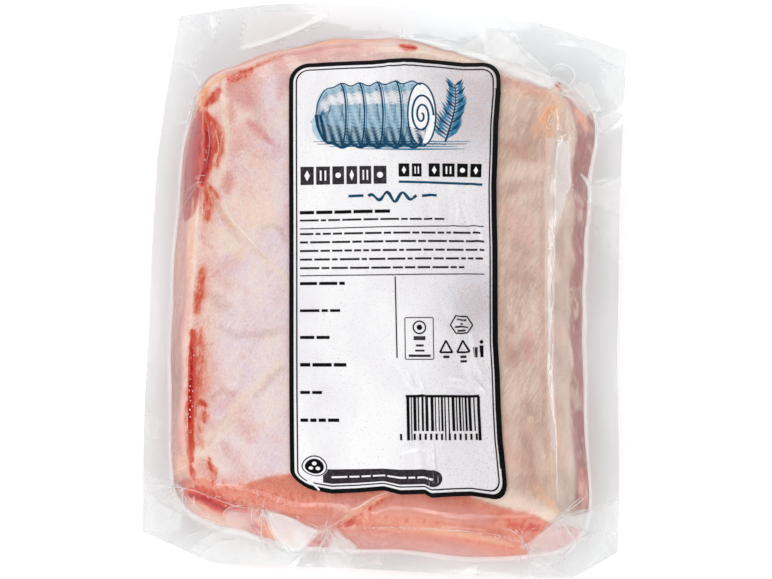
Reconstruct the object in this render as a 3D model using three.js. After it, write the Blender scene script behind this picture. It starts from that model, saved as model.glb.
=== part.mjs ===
// A boneless pork loin piece in a clear vacuum pouch, with a paper label stuck on top.
// Units are millimetres and +Z is up. The pack lies flat with its label up: +Y runs up the
// label, the origin is under the middle of the pack, and Z = 0 is the table.
//
// The pouch and the meat are one body here, because the film is drawn tight onto the meat all
// over. It is shaped as a real pack is: two sheets of film meet in a thin flat rim, and the meat
// stands up between them as a rounded block.

import * as THREE from "three";

// ---------- driving dimensions ----------

// Outlines seen from above, clockwise from the far edge. The pouch is cut straight, and its
// edges are drawn in a little by the vacuum.
const RIM_OUTLINE = [
  [-5, 115.5], [27, 112.5], [58, 106], [80, 99.5], [95.5, 95],
  [93.5, 70], [91, 33], [89.5, 0], [88.5, -40], [87.5, -88],
  [86.5, -106], [69.5, -115.5], [49, -115.5], [3, -113], [-40, -111],
  [-68, -110], [-95.5, -98], [-95.5, -47], [-95, -5], [-93, 49],
  [-90.5, 75], [-86, 110], [-69, 112], [-35, 114.5],
];
// Where the meat's side walls meet the rim.
const FOOT_OUTLINE = [
  [-5, 98], [25, 93.5], [50, 86.5], [72, 78], [81.5, 66],
  [79, 39], [75.7, -5], [75.3, -35], [76, -70], [76.5, -88],
  [74.5, -98], [68, -104.5], [59, -107.5], [35, -109], [0, -106],
  [-34, -105], [-60, -98], [-77, -91.5], [-83, -84], [-84.5, -70],
  [-86, -15], [-84, 33], [-81.5, 60], [-77.5, 74], [-72, 81.5],
  [-60, 87], [-35, 95],
];
// Where those walls turn over onto the top.
const RIDGE_OUTLINE = [
  [-5, 85], [25, 81], [48, 73], [61, 64], [61, 50],
  [59, 24], [57.5, -10], [57, -45], [59.5, -76], [60, -90],
  [44, -93], [22, -91], [0, -89], [-28, -88], [-50, -84],
  [-68, -80], [-75, -68], [-74.5, -25], [-72.5, 18], [-70.5, 45],
  [-71.5, 60], [-68, 69], [-58, 75], [-34, 82],
];

const RIM_HEIGHT = 9; // height of the rim's middle above the table
const RIM_THICKNESS = 0.8; // two sheets of film with a trace of air between them
const RIM_WAVE = 1.6; // how far the free edge of the rim waves up and down
const RIDGE_HEIGHT = 43; // height at which the walls turn over onto the top
const CROWN_RISE = 4.5; // how much higher the middle of the top stands
const TOP_WAVE = 0.8; // slow unevenness of the top
const NEAR_END_DROP = 4; // the cut face at the near end slopes down from the top
const WALL_FOLD = 0.6; // depth of the film's folds down the walls
const WALL_SQUARENESS = 1.4; // 2 rounds the wall like an ellipse, and 1 makes it a flat slope
const FLAT_INSET = 15; // how far inside the foot the flat underside starts

const LABEL_WIDTH = 78.5;
const LABEL_LENGTH = 166.5;
const LABEL_CENTRE = [1.2, -5];
const LABEL_LEAN = -0.012; // slope of the label's long edges against the pack's length
const LABEL_CORNER = 8;
const LABEL_THICKNESS = 0.3;
const LABEL_GAP = 0.35; // air between the label and the film, so that the bodies stay apart

// ---------- mesh resolution ----------

const SPOKES = 120;
const RIM_RINGS = 4;
const WALL_RINGS = 8;
const TOP_RINGS = 10;
const UNDER_RINGS = 5;
const LABEL_COLUMNS = 14;
const LABEL_ROWS = 30;

// ---------- outlines ----------

// A dense, smooth copy of an outline whose corners are rounded.
function smoothOutline(points) {
  const knots = points.map(([x, y]) => new THREE.Vector3(x, y, 0));
  const curve = new THREE.CatmullRomCurve3(knots, true, "centripetal");
  return curve.getPoints(240).map((p) => [p.x, p.y]);
}

// Distance from the pack's middle to an outline in the direction of an angle.
function reach(outline, angle) {
  const dx = Math.cos(angle);
  const dy = Math.sin(angle);
  let longest = 0;
  for (let i = 0; i < outline.length; i += 1) {
    const [ax, ay] = outline[i];
    const [bx, by] = outline[(i + 1) % outline.length];
    const across = dx * (by - ay) - dy * (bx - ax);
    if (Math.abs(across) < 1e-9) continue;
    const along = (dy * ax - dx * ay) / across;
    const distance = (ax * (by - ay) - ay * (bx - ax)) / across;
    if (along >= -1e-9 && along <= 1 + 1e-9) longest = Math.max(longest, distance);
  }
  return longest;
}

const footCurve = smoothOutline(FOOT_OUTLINE);
const ridgeCurve = smoothOutline(RIDGE_OUTLINE);
const rimReach = (angle) => reach(RIM_OUTLINE, angle);
const footReach = (angle) => reach(footCurve, angle);
const ridgeReach = (angle) => reach(ridgeCurve, angle);

// Spokes are spaced evenly along the rim, and one of them meets each of its corners.
function spokeAngles() {
  const sides = RIM_OUTLINE.map((p, i) => {
    const q = RIM_OUTLINE[(i + 1) % RIM_OUTLINE.length];
    return { from: p, to: q, length: Math.hypot(q[0] - p[0], q[1] - p[1]) };
  });
  const around = sides.reduce((sum, side) => sum + side.length, 0);
  const angles = [];
  for (const side of sides) {
    const steps = Math.max(1, Math.round((SPOKES * side.length) / around));
    for (let i = 0; i < steps; i += 1) {
      const x = side.from[0] + ((side.to[0] - side.from[0]) * i) / steps;
      const y = side.from[1] + ((side.to[1] - side.from[1]) * i) / steps;
      angles.push(Math.atan2(y, x));
    }
  }
  return angles;
}

// ---------- heights ----------

// The height of the meat's ridge: lower along the near end, where the cut face starts.
function ridgeHeight(angle) {
  const nearEnd = Math.max(0, -Math.sin(angle) - 0.6) / 0.4;
  return RIDGE_HEIGHT - NEAR_END_DROP * nearEnd + 0.7 * Math.sin(3 * angle + 0.8);
}

// The top of the pack inside the ridge.
function topHeight(x, y) {
  const angle = Math.atan2(y, x);
  const share = Math.min(1, Math.hypot(x, y) / ridgeReach(angle));
  const crown = CROWN_RISE * (1 - share ** 3);
  const uneven = Math.sin(x / 19 + 0.7) * Math.cos(y / 27 - 0.4) + 0.5 * Math.sin((x + y) / 15);
  const edge = ridgeHeight(angle);
  const middle = RIDGE_HEIGHT;
  const base = middle + (edge - middle) * share ** 4;
  return base + crown + TOP_WAVE * uneven * (1 - share ** 6);
}

// The rim's height: held where the walls meet it, waving at its free edge.
function rimHeight(angle, outward) {
  const wave = Math.sin(7 * angle + 0.6) + 0.6 * Math.sin(12 * angle + 2.1);
  return RIM_HEIGHT - 2.2 * outward ** 2 + RIM_WAVE * outward * wave;
}

// ---------- rings of points, from the rim inwards ----------

const onSpoke = (angle, distance, z) => [distance * Math.cos(angle), distance * Math.sin(angle), z];
const blend = (a, b, t) => a + (b - a) * t;

function rimRing(angles, outward, side) {
  return angles.map((angle) => {
    const distance = blend(footReach(angle), rimReach(angle), outward);
    return onSpoke(angle, distance, rimHeight(angle, outward) + (side * RIM_THICKNESS) / 2);
  });
}

// The wall rises as a steep slope with rounded ends, with broad folds of film running down it.
function wallRing(angles, turn) {
  const power = 2 / WALL_SQUARENESS;
  const inward = 1 - Math.max(0, Math.cos((turn * Math.PI) / 2)) ** power;
  const upward = Math.sin((turn * Math.PI) / 2) ** power;
  return angles.map((angle) => {
    const foot = footReach(angle);
    const fold = WALL_FOLD * Math.sin(turn * Math.PI) * Math.sin(19 * angle + 2 * Math.sin(3 * angle));
    const distance = blend(foot, ridgeReach(angle), inward) + fold;
    const start = rimHeight(angle, 0) + RIM_THICKNESS / 2;
    return onSpoke(angle, distance, blend(start, ridgeHeight(angle), upward));
  });
}

function topRing(angles, share) {
  return angles.map((angle) => {
    const distance = share * ridgeReach(angle);
    const x = distance * Math.cos(angle);
    const y = distance * Math.sin(angle);
    return [x, y, topHeight(x, y)];
  });
}

function underRing(angles, turn) {
  return angles.map((angle) => {
    const inward = FLAT_INSET * (1 - Math.cos((turn * Math.PI) / 2));
    const start = rimHeight(angle, 0) - RIM_THICKNESS / 2;
    const z = start * (1 - Math.sin((turn * Math.PI) / 2));
    return onSpoke(angle, footReach(angle) - inward, z);
  });
}

// ---------- closed bodies ----------

// Joins rings into one closed skin, capped at both ends by a fan round a middle point.
function ringsToSolid(rings, firstMiddle, lastMiddle) {
  const count = rings[0].length;
  const points = [firstMiddle, ...rings.flat(), lastMiddle];
  const last = points.length - 1;
  const at = (ring, i) => 1 + ring * count + (i % count);
  const faces = [];
  for (let i = 0; i < count; i += 1) {
    faces.push(0, at(0, i + 1), at(0, i));
    for (let ring = 0; ring + 1 < rings.length; ring += 1) {
      faces.push(at(ring, i), at(ring, i + 1), at(ring + 1, i));
      faces.push(at(ring, i + 1), at(ring + 1, i + 1), at(ring + 1, i));
    }
    faces.push(last, at(rings.length - 1, i), at(rings.length - 1, i + 1));
  }
  return makeGeometry(points, faces);
}

function makeGeometry(points, faces) {
  const geometry = new THREE.BufferGeometry();
  geometry.setAttribute("position", new THREE.Float32BufferAttribute(points.flat(), 3));
  geometry.setIndex(faces);
  geometry.computeVertexNormals();
  return geometry;
}

function makeSealedPack() {
  const angles = spokeAngles();
  const rings = [];
  for (let i = TOP_RINGS - 1; i >= 1; i -= 1) {
    rings.unshift(topRing(angles, i / TOP_RINGS));
  }
  for (let i = WALL_RINGS; i >= 1; i -= 1) {
    rings.push(wallRing(angles, i / WALL_RINGS));
  }
  for (let i = 0; i <= RIM_RINGS; i += 1) {
    rings.push(rimRing(angles, i / RIM_RINGS, 1));
  }
  for (let i = RIM_RINGS; i >= 1; i -= 1) {
    rings.push(rimRing(angles, i / RIM_RINGS, -1));
  }
  for (let i = 0; i <= UNDER_RINGS; i += 1) {
    rings.push(underRing(angles, i / UNDER_RINGS));
  }
  return ringsToSolid(rings, [0, 0, topHeight(0, 0)], [0, 0, 0]);
}

// Half the label's width at a distance from its middle, narrowing round its corners.
function labelHalfWidth(along) {
  const intoCorner = Math.max(0, Math.abs(along) - (LABEL_LENGTH / 2 - LABEL_CORNER));
  const rounding = LABEL_CORNER - Math.sqrt(Math.max(0, LABEL_CORNER ** 2 - intoCorner ** 2));
  return LABEL_WIDTH / 2 - rounding;
}

// Rows lie closer together towards the ends, where the corners turn.
function labelRowPosition(row) {
  const even = (2 * row) / LABEL_ROWS - 1;
  const eased = Math.sin((even * Math.PI) / 2);
  return (LABEL_LENGTH / 2 - 0.15) * blend(even, eased, 0.6);
}

function makeLabel() {
  const top = [];
  const under = [];
  for (let row = 0; row <= LABEL_ROWS; row += 1) {
    const along = labelRowPosition(row);
    const half = labelHalfWidth(along);
    for (let column = 0; column <= LABEL_COLUMNS; column += 1) {
      const x = LABEL_CENTRE[0] + LABEL_LEAN * along + half * ((2 * column) / LABEL_COLUMNS - 1);
      const y = LABEL_CENTRE[1] + along;
      const z = topHeight(x, y) + LABEL_GAP;
      under.push([x, y, z]);
      top.push([x, y, z + LABEL_THICKNESS]);
    }
  }
  return makeGeometry([...under, ...top], labelFaces(under.length));
}

function labelFaces(layer) {
  const wide = LABEL_COLUMNS + 1;
  const faces = [];
  for (let row = 0; row < LABEL_ROWS; row += 1) {
    for (let column = 0; column < LABEL_COLUMNS; column += 1) {
      const a = row * wide + column;
      const b = a + 1;
      const c = a + wide;
      const d = c + 1;
      faces.push(a, c, b, b, c, d);
      faces.push(layer + a, layer + b, layer + c, layer + b, layer + d, layer + c);
    }
  }
  const border = labelBorder(wide);
  border.forEach((a, i) => {
    const b = border[(i + 1) % border.length];
    faces.push(a, b, layer + a, b, layer + b, layer + a);
  });
  return faces;
}

// The label's outer points in order, anticlockwise from its near left corner.
function labelBorder(wide) {
  const border = [];
  for (let column = 0; column < LABEL_COLUMNS; column += 1) border.push(column);
  for (let row = 0; row < LABEL_ROWS; row += 1) border.push(row * wide + LABEL_COLUMNS);
  for (let column = LABEL_COLUMNS; column > 0; column -= 1) border.push(LABEL_ROWS * wide + column);
  for (let row = LABEL_ROWS; row > 0; row -= 1) border.push(row * wide);
  return border;
}

// ---------- the part ----------

function named(name, geometry, colour, roughness) {
  const material = new THREE.MeshStandardMaterial({ color: colour, roughness, metalness: 0 });
  const mesh = new THREE.Mesh(geometry, material);
  mesh.name = name;
  return mesh;
}

const part = new THREE.Group();
part.name = "vacuum_packed_pork_loin";
part.add(named("sealed_pack", makeSealedPack(), 0xd9a9a0, 0.25));
part.add(named("label", makeLabel(), 0xf3f1ee, 0.7));

export default part;
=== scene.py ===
# %% [markdown]
# # A vacuum packed pork loin
# A boneless piece of pork loin lies in a clear vacuum pouch with a printed paper label stuck on
# top. On the real pack two sheets of film are welded round the edge and the air is drawn out, so
# the film lies on the meat like a second skin and the rest of it becomes a flat, wavy rim.
# The CAD model gives the pack's outline and heights. This script reads them off it, and builds
# the loin, the pouch, the label and its print on top of those measurements.

# %% Frame and units
import math
import random

import bmesh
import bpy
import numpy as np
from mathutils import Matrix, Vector
from mathutils.bvhtree import BVHTree


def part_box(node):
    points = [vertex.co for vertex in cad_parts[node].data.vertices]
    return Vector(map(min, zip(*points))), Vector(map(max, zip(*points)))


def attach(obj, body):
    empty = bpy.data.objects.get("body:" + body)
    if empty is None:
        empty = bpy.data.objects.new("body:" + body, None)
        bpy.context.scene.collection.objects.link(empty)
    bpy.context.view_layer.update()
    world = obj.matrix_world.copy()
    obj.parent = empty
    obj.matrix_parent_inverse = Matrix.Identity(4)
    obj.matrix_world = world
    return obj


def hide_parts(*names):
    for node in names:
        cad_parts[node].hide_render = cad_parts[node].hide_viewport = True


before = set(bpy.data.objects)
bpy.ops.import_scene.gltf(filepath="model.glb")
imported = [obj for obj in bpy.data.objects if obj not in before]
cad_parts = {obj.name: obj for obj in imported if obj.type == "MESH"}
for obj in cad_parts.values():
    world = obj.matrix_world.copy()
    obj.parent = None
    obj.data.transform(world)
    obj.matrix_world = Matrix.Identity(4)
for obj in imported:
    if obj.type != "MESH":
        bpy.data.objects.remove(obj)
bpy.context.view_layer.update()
MM = 0.001  # everything below is worked out in millimetres and made in metres
pack_low, pack_high = [np.array(corner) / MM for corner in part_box("sealed_pack")]
label_low, label_high = [np.array(corner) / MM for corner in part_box("label")]
print("pack, mm:", (pack_high - pack_low).round(1))

# %% [markdown]
# ## The camera
# The pack is seen from nearly straight above, from its near end, with a long lens at the
# distance of a copy stand. The target is a little off the pack's middle.

# %% Camera
VIEW_ELEVATION = math.radians(79)
VIEW_DISTANCE = 700
VIEW_TARGET = np.array([-2.0, -6.75, 24.0])


def make_camera():
    camera = bpy.data.objects.new("camera", bpy.data.cameras.new("camera"))
    bpy.context.scene.collection.objects.link(camera)
    camera.data.lens = 85
    back = np.array([0, -math.cos(VIEW_ELEVATION), math.sin(VIEW_ELEVATION)])
    camera.location = (VIEW_TARGET + back * VIEW_DISTANCE) * MM
    camera.rotation_mode = "QUATERNION"
    camera.rotation_quaternion = Vector(-back).to_track_quat("-Z", "Y")
    bpy.context.scene.camera = camera
    print("camera at", tuple(round(v, 3) for v in camera.location))


make_camera()

# %% [markdown]
# ## Small tools for numbers
# Every surface here is a grid of points that functions push about, so a few helpers come
# first: a soft step between two values, and a smooth random field with a known grain size.

# %% Number helpers


def soft_step(value, start, end):
    share = np.clip((value - start) / (end - start), 0, 1)
    return share * share * (3 - 2 * share)


def bump(value, middle, reach):
    """1 at the middle, falling softly to 0 at a distance."""
    return 1 - soft_step(np.abs(value - middle), 0, reach)


def lattice(ix, iy, iz, seed):
    """A repeatable random value from -1 to 1 for each whole-numbered point."""
    mixed = ix * 73856093 ^ iy * 19349663 ^ iz * 83492791 ^ seed * 2654435761
    mixed = (mixed ^ (mixed >> 13)) * 1274126177 & 0x7FFFFFFF
    return (mixed ^ (mixed >> 16)) % 65536 / 32767.5 - 1


def lumps(x, y, z, grain, seed):
    """A smooth random field whose lumps are about a grain wide, from -1 to 1."""
    gx, gy, gz = x / grain, y / grain, z / grain
    ix, iy, iz = (np.floor(g).astype(np.int64) for g in (gx, gy, gz))
    fx, fy, fz = (g - i for g, i in zip((gx, gy, gz), (ix, iy, iz)))
    fx, fy, fz = (f * f * (3 - 2 * f) for f in (fx, fy, fz))
    total = 0
    for dx in (0, 1):
        for dy in (0, 1):
            for dz in (0, 1):
                weight = np.abs(1 - dx - fx) * np.abs(1 - dy - fy) * np.abs(1 - dz - fz)
                total = total + weight * lattice(ix + dx, iy + dy, iz + dz, seed)
    return total


def rough(x, y, z, grain, seed):
    """Lumps with smaller lumps on them."""
    return (
        lumps(x, y, z, grain, seed)
        + 0.5 * lumps(x, y, z, grain / 2.1, seed + 1)
        + 0.25 * lumps(x, y, z, grain / 4.3, seed + 2)
    ) / 1.4


print("grain test:", round(float(lumps(np.array([3.2]), np.array([1.0]), np.array([0.5]), 5, 1)[0]), 3))

# %% [markdown]
# ## Reading the pack's shape off the CAD body
# Spokes run out from the pack's middle. Along each, rays find where the rim ends, how far out
# the side wall stands at each height, and how high the top and the rim are. Everything else is
# laid onto these numbers, so the looks keep the size of the CAD body.

# %% Spokes and rays
SPOKES = 800
ABOVE, BELOW, BESIDE = 0.2, -0.1, 0.17  # metres: where rays start, clear of the pack
RIM_SEARCH = (50.0, 170.0)  # the rim ends somewhere between these distances from the middle
SHOULDER_HEIGHT = 36  # the wall is read level by level up to here, and the top by shares
WALL_LEVELS = np.linspace(14, SHOULDER_HEIGHT, 12)
TOP_SHARES = np.linspace(0, 1, 41)
RIM_SHARES = np.linspace(0, 1, 12)
spoke_angles = np.linspace(0, 2 * math.pi, SPOKES, endpoint=False)


def cad_tree(node):
    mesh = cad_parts[node].data
    return BVHTree.FromPolygons(
        [v.co for v in mesh.vertices], [p.vertices[:] for p in mesh.polygons]
    )


pack_tree = cad_tree("sealed_pack")


def height_at(x, y, from_above=True):
    start = Vector((x * MM, y * MM, ABOVE if from_above else BELOW))
    hit = pack_tree.ray_cast(start, Vector((0, 0, -1 if from_above else 1)))[0]
    return None if hit is None else hit.z / MM


def rim_reach(angle):
    """Halves the search until the rim's edge is known to a few thousandths of a millimetre."""
    inside, outside = RIM_SEARCH
    for _ in range(16):
        middle = (inside + outside) / 2
        if height_at(middle * math.cos(angle), middle * math.sin(angle)) is None:
            outside = middle
        else:
            inside = middle
    return inside


def wall_reach(angle, level):
    out = Vector((math.cos(angle), math.sin(angle), 0))
    hit = pack_tree.ray_cast(out * BESIDE + Vector((0, 0, level * MM)), -out)[0]
    return math.hypot(hit.x, hit.y) / MM


print("top of the pack at its middle:", round(height_at(0, 0), 1), "mm")

# %% Reading the heights


def evened(values, rounds):
    """Smooths values round the pack, to take out the CAD body's flat facets."""
    for _ in range(rounds):
        values = (np.roll(values, 1, -1) + 2 * values + np.roll(values, -1, -1)) / 4
    return values


def read_heights(radii, from_above):
    rows = [
        [height_at(r * math.cos(a), r * math.sin(a), from_above) for r, a in zip(row, spoke_angles)]
        for row in radii
    ]
    return np.array(rows, float)


rim_radius = np.array([rim_reach(a) for a in spoke_angles])
wall_radius = evened(np.array([[wall_reach(a, z) for a in spoke_angles] for z in WALL_LEVELS]), 8)
shoulder_radius = wall_radius[-1]
foot_radius = wall_radius[0] + 0.4
top_height = evened(read_heights(TOP_SHARES[:, None] * shoulder_radius * 0.999, True), 8)
rim_radii = foot_radius + 0.5 + RIM_SHARES[:, None] * (rim_radius * 0.999 - foot_radius - 0.5)
rim_height = evened(
    (read_heights(rim_radii, True) + read_heights(rim_radii, False)) / 2, 6
)
rim_height[0] = 2 * rim_height[1] - rim_height[2]
print("rim", rim_radius.min().round(1), "to", rim_radius.max().round(1), "mm from the middle")

# %% [markdown]
# ## From spokes to places
# A place on the pack is a turn (which spoke) and a share along a stretch: top, wall or rim.
# These functions give its point in millimetres.

# %% Stretches of the pack


def around(values, turn):
    """Reads a row of spoke values at any turn from 0 to 1."""
    at = np.asarray(turn) % 1 * SPOKES
    low = np.floor(at).astype(int)
    part = at - low
    return values[..., low % SPOKES] * (1 - part) + values[..., (low + 1) % SPOKES] * part


def table_at(table, shares, share, turn):
    """Reads a table of spoke rows at any share and turn."""
    share = np.clip(share, shares[0], shares[-1])
    row = np.clip(np.searchsorted(shares, share, "right") - 1, 0, len(shares) - 2)
    part = (share - shares[row]) / (shares[row + 1] - shares[row])
    at = np.asarray(turn) % 1 * SPOKES
    low = np.floor(at).astype(int)
    side = at - low
    near = table[row, low % SPOKES] * (1 - side) + table[row, (low + 1) % SPOKES] * side
    far = table[row + 1, low % SPOKES] * (1 - side) + table[row + 1, (low + 1) % SPOKES] * side
    return near * (1 - part) + far * part


def out_along(turn, radius, z):
    angle = turn * 2 * math.pi
    return np.stack([radius * np.cos(angle), radius * np.sin(angle), z + 0 * radius], -1)


def top_point(turn, share):
    share = share * (1 + 0.55 * (1 - share))  # rings lie closer together near the shoulder
    return out_along(
        turn, share * around(shoulder_radius, turn), table_at(top_height, TOP_SHARES, share, turn)
    )


def wall_point(turn, share):
    level = SHOULDER_HEIGHT + (WALL_LEVELS[0] - SHOULDER_HEIGHT) * share
    return out_along(turn, table_at(wall_radius, WALL_LEVELS, level, turn), level)


def rim_point(turn, share):
    foot, edge = around(foot_radius, turn), around(rim_radius, turn)
    radius = foot + 0.4 + share * (edge - foot - 0.4)
    height = table_at(rim_height, RIM_SHARES, share, turn)
    return out_along(turn, radius, height)


def top_surface(x, y):
    """Height of the pack's top at a place seen from above."""
    turn = np.arctan2(y, x) / (2 * math.pi)
    share = np.hypot(x, y) / around(shoulder_radius, turn)
    return table_at(top_height, TOP_SHARES, share, turn)


print("top at the middle:", float(top_surface(np.array([0.0]), np.array([0.0]))[0].round(2)), "mm")

# %% [markdown]
# ## Skins rolled from a grid
# The loin and the pouch are both made from a flat grid. Its columns become spokes and its rows
# become rings, from the middle of the top, over the wall, to the middle of the underside. The
# seam and the two poles are then closed by merging the points that meet there.

# %% Rolling a grid into a skin


def facing(points):
    """Unit normals of a grid of points, pointing out of the pack."""
    down = np.gradient(points, axis=0)
    round_ = (np.roll(points, -1, 1) - np.roll(points, 1, 1)) / 2
    normals = np.cross(down, round_)
    length = np.linalg.norm(normals, axis=-1, keepdims=True)
    normals = normals / np.maximum(length, 1e-9)
    normals[0] = (0, 0, 1)
    normals[-1] = (0, 0, -1)
    return normals


def roll_grid(name, points, marks):
    """Makes an object whose rings and spokes lie at the given points."""
    rings, spokes = points.shape[:2]
    sheet = bmesh.new()
    bmesh.ops.create_grid(sheet, x_segments=spokes, y_segments=rings - 1, size=0.5)
    layers = {mark: sheet.verts.layers.float.new(mark) for mark in marks}
    for vertex in sheet.verts:
        ring = round((0.5 - vertex.co.y) * (rings - 1))
        spoke = round((vertex.co.x + 0.5) * spokes) % spokes
        vertex.co = points[ring, spoke] * MM
        for mark, layer in layers.items():
            vertex[layer] = marks[mark][ring, spoke]
    bmesh.ops.remove_doubles(sheet, verts=sheet.verts, dist=0.00001)
    return finish_piece(name, sheet)


def lay_grid(shape, points):
    """Lays a grid of faces over rows of points, in mm. Gives each new vertex with its row."""
    rows, columns = points.shape[:2]
    made = bmesh.ops.create_grid(shape, x_segments=columns - 1, y_segments=rows - 1, size=0.5)
    laid = []
    for vertex in made["verts"]:
        row, column = round((vertex.co.y + 0.5) * (rows - 1)), round((vertex.co.x + 0.5) * (columns - 1))
        vertex.co = points[row, column] * MM
        laid.append((vertex, row))
    return laid


def finish_piece(name, shape):
    """Turns a bmesh into a smooth object that rides on the part's one body."""
    mesh = bpy.data.meshes.new(name)
    shape.to_mesh(mesh)
    shape.free()
    piece = bpy.data.objects.new(name, mesh)
    bpy.context.scene.collection.objects.link(piece)
    mesh.shade_smooth()
    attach(piece, "root")
    print(name, len(mesh.polygons), "faces")
    return piece


def stack_rings(stretches):
    """Joins stretches of rings into one grid of points. Each is (how to place, from, to, rings)."""
    turns = np.arange(SPOKES) / SPOKES
    rows = []
    for place, start, end, count in stretches:
        for share in np.linspace(start, end, count):
            rows.append(place(turns, np.full(SPOKES, share)))
    return np.array(rows)

# %% [markdown]
# ## The loin
# A loin piece has different faces. Its top is covered by silverskin, a thin lilac membrane, on
# one side and by streaky back fat on the other. The near and far ends are cut faces of bare
# lean meat, and lean shows again down the left wall. Where each of these lies is held in marks:
# one number per point and tissue, laid down in strokes as with a brush. A stroke has a path, a
# width and a frayed edge, because no seam in meat is straight.

# %% Brush strokes
WIDEST_FRAY = 4.5  # mm: a stroke wider than this has no rougher an edge


def path_distance(x, y, path):
    """Distance from each place to a path of straight stretches, and the share along it."""
    nearest = np.full(x.shape, 1e9)
    along = np.zeros(x.shape)
    lengths = [math.dist(a, b) for a, b in zip(path, path[1:])]
    done = 0.0
    for (ax, ay), (bx, by), length in zip(path, path[1:], lengths):
        share = ((x - ax) * (bx - ax) + (y - ay) * (by - ay)) / max(length, 1e-6) ** 2
        share = np.clip(share, 0, 1)
        gap = np.hypot(x - ax - share * (bx - ax), y - ay - share * (by - ay))
        closer = gap < nearest
        nearest = np.where(closer, gap, nearest)
        along = np.where(closer, (done + share * length) / sum(lengths), along)
        done += length
    return nearest, along


def close_to(x, y, path, margin):
    """Picks out the places within a margin of a path's box, so that a stroke costs little."""
    (low_x, low_y), (high_x, high_y) = np.min(path, axis=0), np.max(path, axis=0)
    inside_x = (x > low_x - margin) & (x < high_x + margin)
    return inside_x & (y > low_y - margin) & (y < high_y + margin)


def stroke(points, path, width, strength, soft, fray=0.42):
    """How strongly a brush stroke, placed as seen from above, covers each point."""
    covered = np.zeros(points.shape[:-1])
    near = close_to(points[..., 0], points[..., 1], path, width + 2)
    x, y, z = points[near].T
    gap, along = path_distance(x, y, path)
    grain_seed = len(path) + int(abs(path[0][0]))
    reach = width / 2 + fray * min(width, WIDEST_FRAY) / 2 * rough(x, y, z, 2.7, grain_seed)
    reach = reach * (0.45 + 0.55 * np.sin(math.pi * np.clip(along * 0.9 + 0.05, 0, 1)))
    covered[near] = strength * (1 - soft_step(gap, reach * (1 - soft), reach * (1 + soft) + 0.2))
    return covered


def cover(mark, amount):
    """Adds paint to a mark without going over 1."""
    return 1 - (1 - mark) * (1 - np.clip(amount, 0, 1))


def painted(points, strokes, ground, soft):
    """A mark made of a ground and strokes, each a path, a width and a strength."""
    mark = ground + np.zeros(points.shape[:-1])
    for path, width, strength in strokes:
        mark = cover(mark, stroke(points, path, width, strength, soft))
    return mark


print("a stroke's middle:", float(stroke(np.zeros((1, 3)), [(-5, 0), (5, 0)], 4, 1, 0.5)[0]))

# %% [markdown]
# The near end's cut face starts behind a slightly wandering line. The same line is used for the
# step in height there and for the change of colour.

# %% Where the cut face starts
CUT_LINE = [
    (-91.4, -79), (-69.3, -80.5), (-64.3, -83.5), (-53.8, -82.6), (-44.2, -79.5),
    (-19.2, -78), (35.5, -87), (49.8, -92), (58.4, -96.1), (90.8, -100),
]


def past_cut_line(points):
    """How far each point lies towards the near end, past the line of the cut face."""
    line = np.interp(points[..., 0], *zip(*CUT_LINE))
    return line - points[..., 1]


print("cut line:", len(CUT_LINE), "points")

# %% Dents and swellings
DENTS = [  # path, width and height of what stands out of the loin, or sinks into it
    ([(-73.2, 68), (-69, 61), (-64, 60)], 8, 0.9),
    ([(-70.2, -85.9), (-59.4, -90), (-49, -91.6)], 2.4, -0.9),
    ([(-47.1, -91.6), (-34.4, -97), (-25.2, -101.4)], 2.4, -0.7),
    ([(-18.3, -97.6), (-7.7, -91), (0, -87)], 3.4, -1),
    ([(-16.8, -97.4), (3.8, -98), (26.7, -102), (47.1, -104.4)], 3, -0.6),
    ([(-62.2, 73), (-50.2, 78), (-40.2, 83)], 2.4, -0.6),
    ([(-68.4, 29), (-59.2, 14), (-47.2, 1)], 3, -0.5),
    ([(61, 58), (57.7, 40), (56.2, 10), (55.4, -40), (57.6, -84)], 2, -0.4),
    ([(-72.6, -74.6), (-70.6, -71.6), (-67, -71.6), (-65, -75)], 5, 1),
    ([(-70, -76), (-67.5, -80)], 5, 0.6),
    ([(-73.8, -28), (-73.9, -48), (-73.8, -70)], 3, -0.6),
    ([(-69.8, 53), (-69.2, 43), (-71.4, 32)], 3.0, -0.9),
    ([(-66.3, 22.7), (-61.8, 15), (-57.3, 9), (-51.2, 4.8), (-46, -0.2)], 3.4, -0.15),
    ([(-62.5, 21.1), (-58.7, 14.3), (-54.2, 8.2), (-47.4, 1.3), (-41.4, -4)], 4, 0.25),
    ([(-67.6, 53), (-66.8, 45), (-66.8, 38), (-68.6, 33)], 2.4, 0.6),
    ([(-71.5, 60), (-70.5, 63.5), (-67.5, 69)], 2.2, 0.5),
    ([(-67.6, 60.5), (-64.6, 65), (-63.6, 70)], 2.4, 0.4),
    ([(-69, -70.3), (-66.1, -65), (-60.9, -59.6), (-53.8, -51.2), (-47.2, -45.9)], 4, 0.3),
]


def meat_relief(points, fine=0.14):
    """How far the meat stands out from, or sinks under, the plain shape of the pack."""
    x, y, z = points[..., 0], points[..., 1], points[..., 2]
    relief = 0.4 * rough(x, y, z, 21, 3) + fine * rough(x, y, z, 6, 9)
    relief -= 0.6 * soft_step(past_cut_line(points), -0.8, 1.2) * soft_step(z, 28, 36)
    for path, width, height in DENTS:
        relief += height * stroke(points, path, width, 1, 0.9)
    return relief


print(len(DENTS), "dents and swellings")

# %% Points of the loin
UNDERCUT = 9  # how far the wall turns in under the loin
LOIN_SOLE = 0.6  # height of the loin's underside


def loin_lower_point(turn, share):
    """Below the rim the meat's wall turns in under the loin."""
    foot = around(foot_radius, turn)
    quarter = share * math.pi / 2
    radius = foot - UNDERCUT * (1 - np.cos(quarter))
    return out_along(turn, radius, LOIN_SOLE + (WALL_LEVELS[0] - 1 - LOIN_SOLE) * (1 - np.sin(quarter)))


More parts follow.
